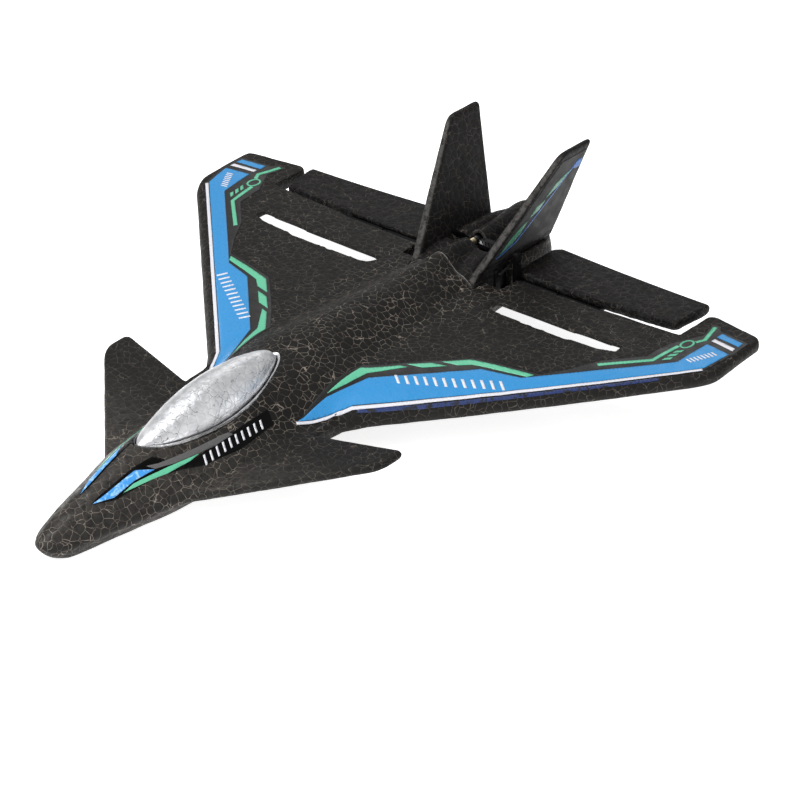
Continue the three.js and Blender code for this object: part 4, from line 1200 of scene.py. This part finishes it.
def ring_outline(centre, radius_x, radius_y, width, half):
    """Half of a flat ring, since an outline can't have a hole."""
    angles = np.linspace(half * math.pi, (half + 1) * math.pi, 15)
    outer = [(centre[0] + radius_x * math.cos(a), centre[1] + radius_y * math.sin(a)) for a in angles]
    inner = [
        (centre[0] + (radius_x - width) * math.cos(a), centre[1] + (radius_y - width) * math.sin(a))
        for a in angles[::-1]
    ]
    return outer + inner


WING_BARS = ((42, 8), (82, 36), 12, 4.8, 1.3, -0.35)
TIP_NOTE_BARS = ((134, 95), (140.6, 107), 8, 3.4, 0.8, -0.3)
NOSE_BARS = ((19, -87), (20.4, -50), 10, 3.3, 1.1, 0.5)
NOSE_SHIFT = 4.8  # the right nose stickers lie closer to the centreline
SEAM_GLUE = [(x, SEAM_Y + y) for x, y in ((-18, 0.6), (-9, 0.5), (0, 0.6), (9, 0.5), (18, 0.6))]
SEAM_GLUE_WIDTH = 0.3


def wing_stickers(side, skin, inks):
    greens = WING_GREENS + TIP_BARS + [strip(line, TIP_LINE_WIDTH) for line in (TIP_LINE, TIP_LINE_END)]
    greens += [ring_outline(TIP_RING, 2.9, 4.2, 1.0, half) for half in (0, 1)]
    whites = [strip(WING_WHITE, WING_WHITE_WIDTH), TIP_WHITE]
    whites += slanted_bars(*WING_BARS) + slanted_bars(*TIP_NOTE_BARS)
    layers = [
        ("base", [WING_BASE], BASE_LIFT, inks["black"]),
        ("blue", [WING_BLUE, TIP_BLUE], INK_LIFT, inks["blue"]),
        ("green", greens, INK_LIFT, inks["green"]),
        ("white", whites, TOP_LIFT, inks["white"]),
    ]
    if side > 0:
        layers.insert(3, ("edge", [strip(WING_EDGE_LINE, WING_EDGE_WIDTH)], INK_LIFT, inks["edge_blue"]))
    return lay_layers("wing", side, layers, on_body(side), skin, UP)


def nose_stickers(side, skin, inks):
    inward = NOSE_SHIFT if side < 0 else 0
    layers = [
        ("base", [NOSE_BASE], BASE_LIFT, inks["gloss_black"]),
        ("clear", [NOSE_CLEAR], INK_LIFT, inks["clear"]),
        ("blue", [NOSE_BLUE], INK_LIFT, inks["flash_blue"]),
        ("green", [NOSE_GREEN], INK_LIFT, inks["green"]),
        ("white", slanted_bars(*NOSE_BARS), INK_LIFT, inks["white"]),
    ]
    layers = [
        (name, [[(x - inward, y) for x, y in outline] for outline in parts], lift, ink)
        for name, parts, lift, ink in layers
    ]
    return lay_layers("nose", side, layers, on_body(side), skin, UP)


def fin_stickers(side, skin, inks):
    layers = [
        ("film", [FIN_FILM], 0.12, inks["grey"]),
        ("blue", [strip(FIN_BLUE_LINE, 0.95), FIN_BLUE_PATCH], 0.19, inks["fin_blue"]),
        ("green", FIN_GREENS, 0.19, inks["fin_green"]),
    ]
    return lay_layers("fin", side, layers, fin_face(side), skin, (side, 0, 0))


def seam_glue(skin, ink):
    """The thin dried bead of glue across the seam in front of the fins."""
    bead = [strip(SEAM_GLUE, SEAM_GLUE_WIDTH)]
    return lay_stickers("seam_glue", bead, on_body(1), skin, UP, BASE_LIFT, ink)


def lay_layers(part, side, layers, surface, skin, towards):
    """One object for each layer of (name, outlines, lift, ink)."""
    tag = "left" if side > 0 else "right"
    return [
        lay_stickers(f"{tag}_{part}_{name}", outlines, surface, skin, towards, lift, ink)
        for name, outlines, lift, ink in layers
    ]


def lay_stickers(name, outlines, surface, skin, towards, lift, ink):
    """One object for the outlines of one ink."""
    pieces = [
        sheet(f"{name}_{i}", outline, surface, skin, towards, lift) for i, outline in enumerate(outlines)
    ]
    if len(pieces) > 1:
        join(pieces[0], *pieces[1:])
    pieces[0].name = name
    pieces[0].data.materials.append(ink)
    return pieces[0]


# ---------------- scene

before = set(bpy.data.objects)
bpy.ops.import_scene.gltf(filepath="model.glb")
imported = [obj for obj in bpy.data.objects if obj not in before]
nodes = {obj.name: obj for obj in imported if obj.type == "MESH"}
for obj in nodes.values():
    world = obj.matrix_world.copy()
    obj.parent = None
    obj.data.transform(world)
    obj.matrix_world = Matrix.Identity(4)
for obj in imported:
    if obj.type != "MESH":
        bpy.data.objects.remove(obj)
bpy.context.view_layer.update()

foam = foam_look("foam", (21, 20, 19), (148, 138, 127), line_strength=0.85, calm=0.4)
# the tail foam's forward edges get a painted highlight
foam_fin = foam_look("foam_tail", (18, 17, 17), (104, 94, 86), line_strength=0.6, edge_sheen_share=0.85)
foam_elevon = foam_look("foam_elevon", (15, 14, 14), (104, 96, 88), line_strength=0.5)
foil = foil_look("foil")
gloss_black = plastic_look("gloss_black", (12, 12, 14), 0.12)
arm_black = plastic_look("arm_black", (7, 7, 8), 0.5, shine=0.12)
matte_black = plastic_look("matte_black", (12, 12, 13), 0.55, 0.04, 0.3, shine=0.2)
steel = metal_look("steel", (190, 190, 194), 0.25)
brass = metal_look("brass", (214, 200, 164), 0.16)
board = board_look("board")
pouch = plastic_look("pouch", (150, 156, 164), 0.35, 0.05, 3)
lens = plastic_look("lens", (225, 232, 240), 0.1)
inks = {
    "black": film_look("ink_black", (19, 18, 18), gloss=0.36, grain=0.02, shine=0.3),
    "gloss_black": film_look("ink_gloss_black", (6, 6, 6), gloss=0.24, ripple=0.05, grain=0.0, shine=0.1),
    "blue": film_look("ink_blue", (28, 136, 200), shine=0.3),
    "flash_blue": flash_look("ink_flash_blue", (62, 148, 222), (150, 200, 240)),
    "edge_blue": flash_look("ink_edge_blue", (28, 48, 100), (16, 17, 24), size=5),
    "clear": film_look("ink_clear", (84, 83, 84), gloss=0.34, ripple=0.03, grain=0.02),
    "green": film_look("ink_green", (84, 186, 146)),
    "white": film_look("ink_white", (222, 222, 230)),
    "grey": film_look("ink_grey", (20, 19, 21), gloss=0.6, ripple=0.05, grain=0.02, shine=0.35),
    "fin_blue": film_look("ink_fin_blue", (24, 96, 170), shine=0.2),
    "glue": flash_look("ink_glue", (128, 124, 118), (44, 42, 40), size=1.5),
    "fin_green": film_look("ink_fin_green", (60, 134, 104)),
}

CAD_LOOKS = (
    (foam, "foam_airframe"),
    (foam_fin, "tail_unit"),
    (foam_elevon, "elevon"),
    (foil, "canopy canopy_rim"),
    (matte_black, "hinge_rail pushrod motor_sleeve belly_cover switch_housing charge_socket"),
    (gloss_black, "servo_case propeller switch_slider"),
    (arm_black, "elevon_carrier servo_arm"),
    (steel, "hinge_pin motor prop_shaft cover_screw"),
    (brass, "prop_collar"),
    (pouch, "battery"),
    (board, "circuit_board"),
    (lens, "status_lens"),
)
look_of = {name: material for material, names in CAD_LOOKS for name in names.split()}


def dress(node, material):
    node.data.materials.clear()
    node.data.materials.append(material)


for name, node in nodes.items():
    plain = name.removeprefix("left_").removeprefix("right_")
    dress(node, look_of[plain.rstrip("_1234")])


def place(piece, material, body, node):
    """Gives a finished piece its material, its body and the CAD node that it stands for."""
    if material:
        dress(piece, material)
    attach(piece, body)
    if node:
        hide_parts(node)


def skin_of(piece):
    return BVHTree.FromObject(piece, bpy.context.evaluated_depsgraph_get())


airframe = airframe_foam()
tail = tail_foam()
airframe_skin = skin_of(airframe)
tail_skin = skin_of(tail)
place(airframe, foam, "airframe", "foam_airframe")
place(tail, foam_fin, "airframe", "tail_unit")
for tag, side, seed in (("left", 1, 4.0), ("right", -1, 6.5)):
    piece = elevon_foam(f"{tag}_elevon_foam", side, seed)
    place(piece, foam_elevon, f"{tag}_elevon_body", f"{tag}_elevon")
    stickers = wing_stickers(side, airframe_skin, inks)
    stickers += nose_stickers(side, airframe_skin, inks)
    stickers += fin_stickers(side, tail_skin, inks)
    for sticker in stickers:
        place(sticker, None, "airframe", None)
place(seam_glue(tail_skin, inks["glue"]), None, "airframe", None)
place(canopy_skin(), foil, "airframe", "canopy")
place(canopy_rim(), foil, "airframe", "canopy_rim")


# ---------------- floor, light and camera


def area_light(name, place, aim, size, power):
    """A round soft light. Its place, aim and size are metres."""
    data = bpy.data.lights.new(name, "AREA")
    data.shape = "DISK"
    data.size = size
    data.energy = power
    lamp = bpy.data.objects.new(name, data)
    lamp.location = place
    lamp.rotation_euler = (Vector(aim) - Vector(place)).to_track_quat("-Z", "Y").to_euler()
    bpy.context.scene.collection.objects.link(lamp)


FLOOR_REACH = 3000
FLOOR_GLOW = 0.9  # the pale floor is lit from below, so that shadows stay faint
WORLD_STRENGTH = 0.45
LIGHTS = (  # name, place, aim, size, power
    ("key", (-0.35, -0.8, 1.15), (0, -0.02, 0.02), 0.5, 10.5),
    ("nose_fill", (0.8, -1.2, 0.5), (0, -0.08, 0.03), 0.5, 4),
    ("overhead", (-0.2, -0.22, 1.1), (0, -0.06, 0.03), 0.35, 3.4),
    ("left_fill", (1.2, 0.3, 0.7), (0, 0, 0.02), 0.8, 1),
    ("back", (-0.6, 1.1, 0.9), (0, 0, 0.03), 0.8, 1.5),
)


def studio():
    corners = [(x * FLOOR_REACH, y * FLOOR_REACH, 0) for x, y in ((-1, -1), (1, -1), (1, 1), (-1, 1))]
    floor = new_object("floor", corners, [(0, 1, 2, 3)])
    look = Look("floor")
    shade = look.mix(look.patches(300, detail=2.0), (0.9, 0.9, 0.9, 1), (0.92, 0.92, 0.92, 1))
    look.finish(shade, look.patches(50, 0.8, 0.9))
    look.feed(look.shader.inputs["Emission Color"], shade)
    look.shader.inputs["Emission Strength"].default_value = FLOOR_GLOW
    dress(floor, look.material)
    world = bpy.data.worlds.new("studio")
    world.use_nodes = True
    background = world.node_tree.nodes["Background"]
    background.inputs["Color"].default_value = (1, 1, 1, 1)
    background.inputs["Strength"].default_value = WORLD_STRENGTH
    bpy.context.scene.world = world
    for light in LIGHTS:
        area_light(*light)
    bpy.context.scene.view_settings.view_transform = "Standard"


CAMERA_PLACE = Vector((0.7493, -0.8497, 0.6597))  # metres
CAMERA_DIRECTION = Vector((-0.5485, 0.6691, -0.5015))
LENS = 135
SENSOR = 36


def camera():
    data = bpy.data.cameras.new("camera")
    data.lens = LENS
    data.sensor_width = SENSOR
    holder = bpy.data.objects.new("camera", data)
    holder.location = CAMERA_PLACE
    holder.rotation_euler = CAMERA_DIRECTION.to_track_quat("-Z", "Y").to_euler()
    bpy.context.scene.collection.objects.link(holder)
    bpy.context.scene.camera = holder


studio()
camera()

bpy.context.view_layer.update()
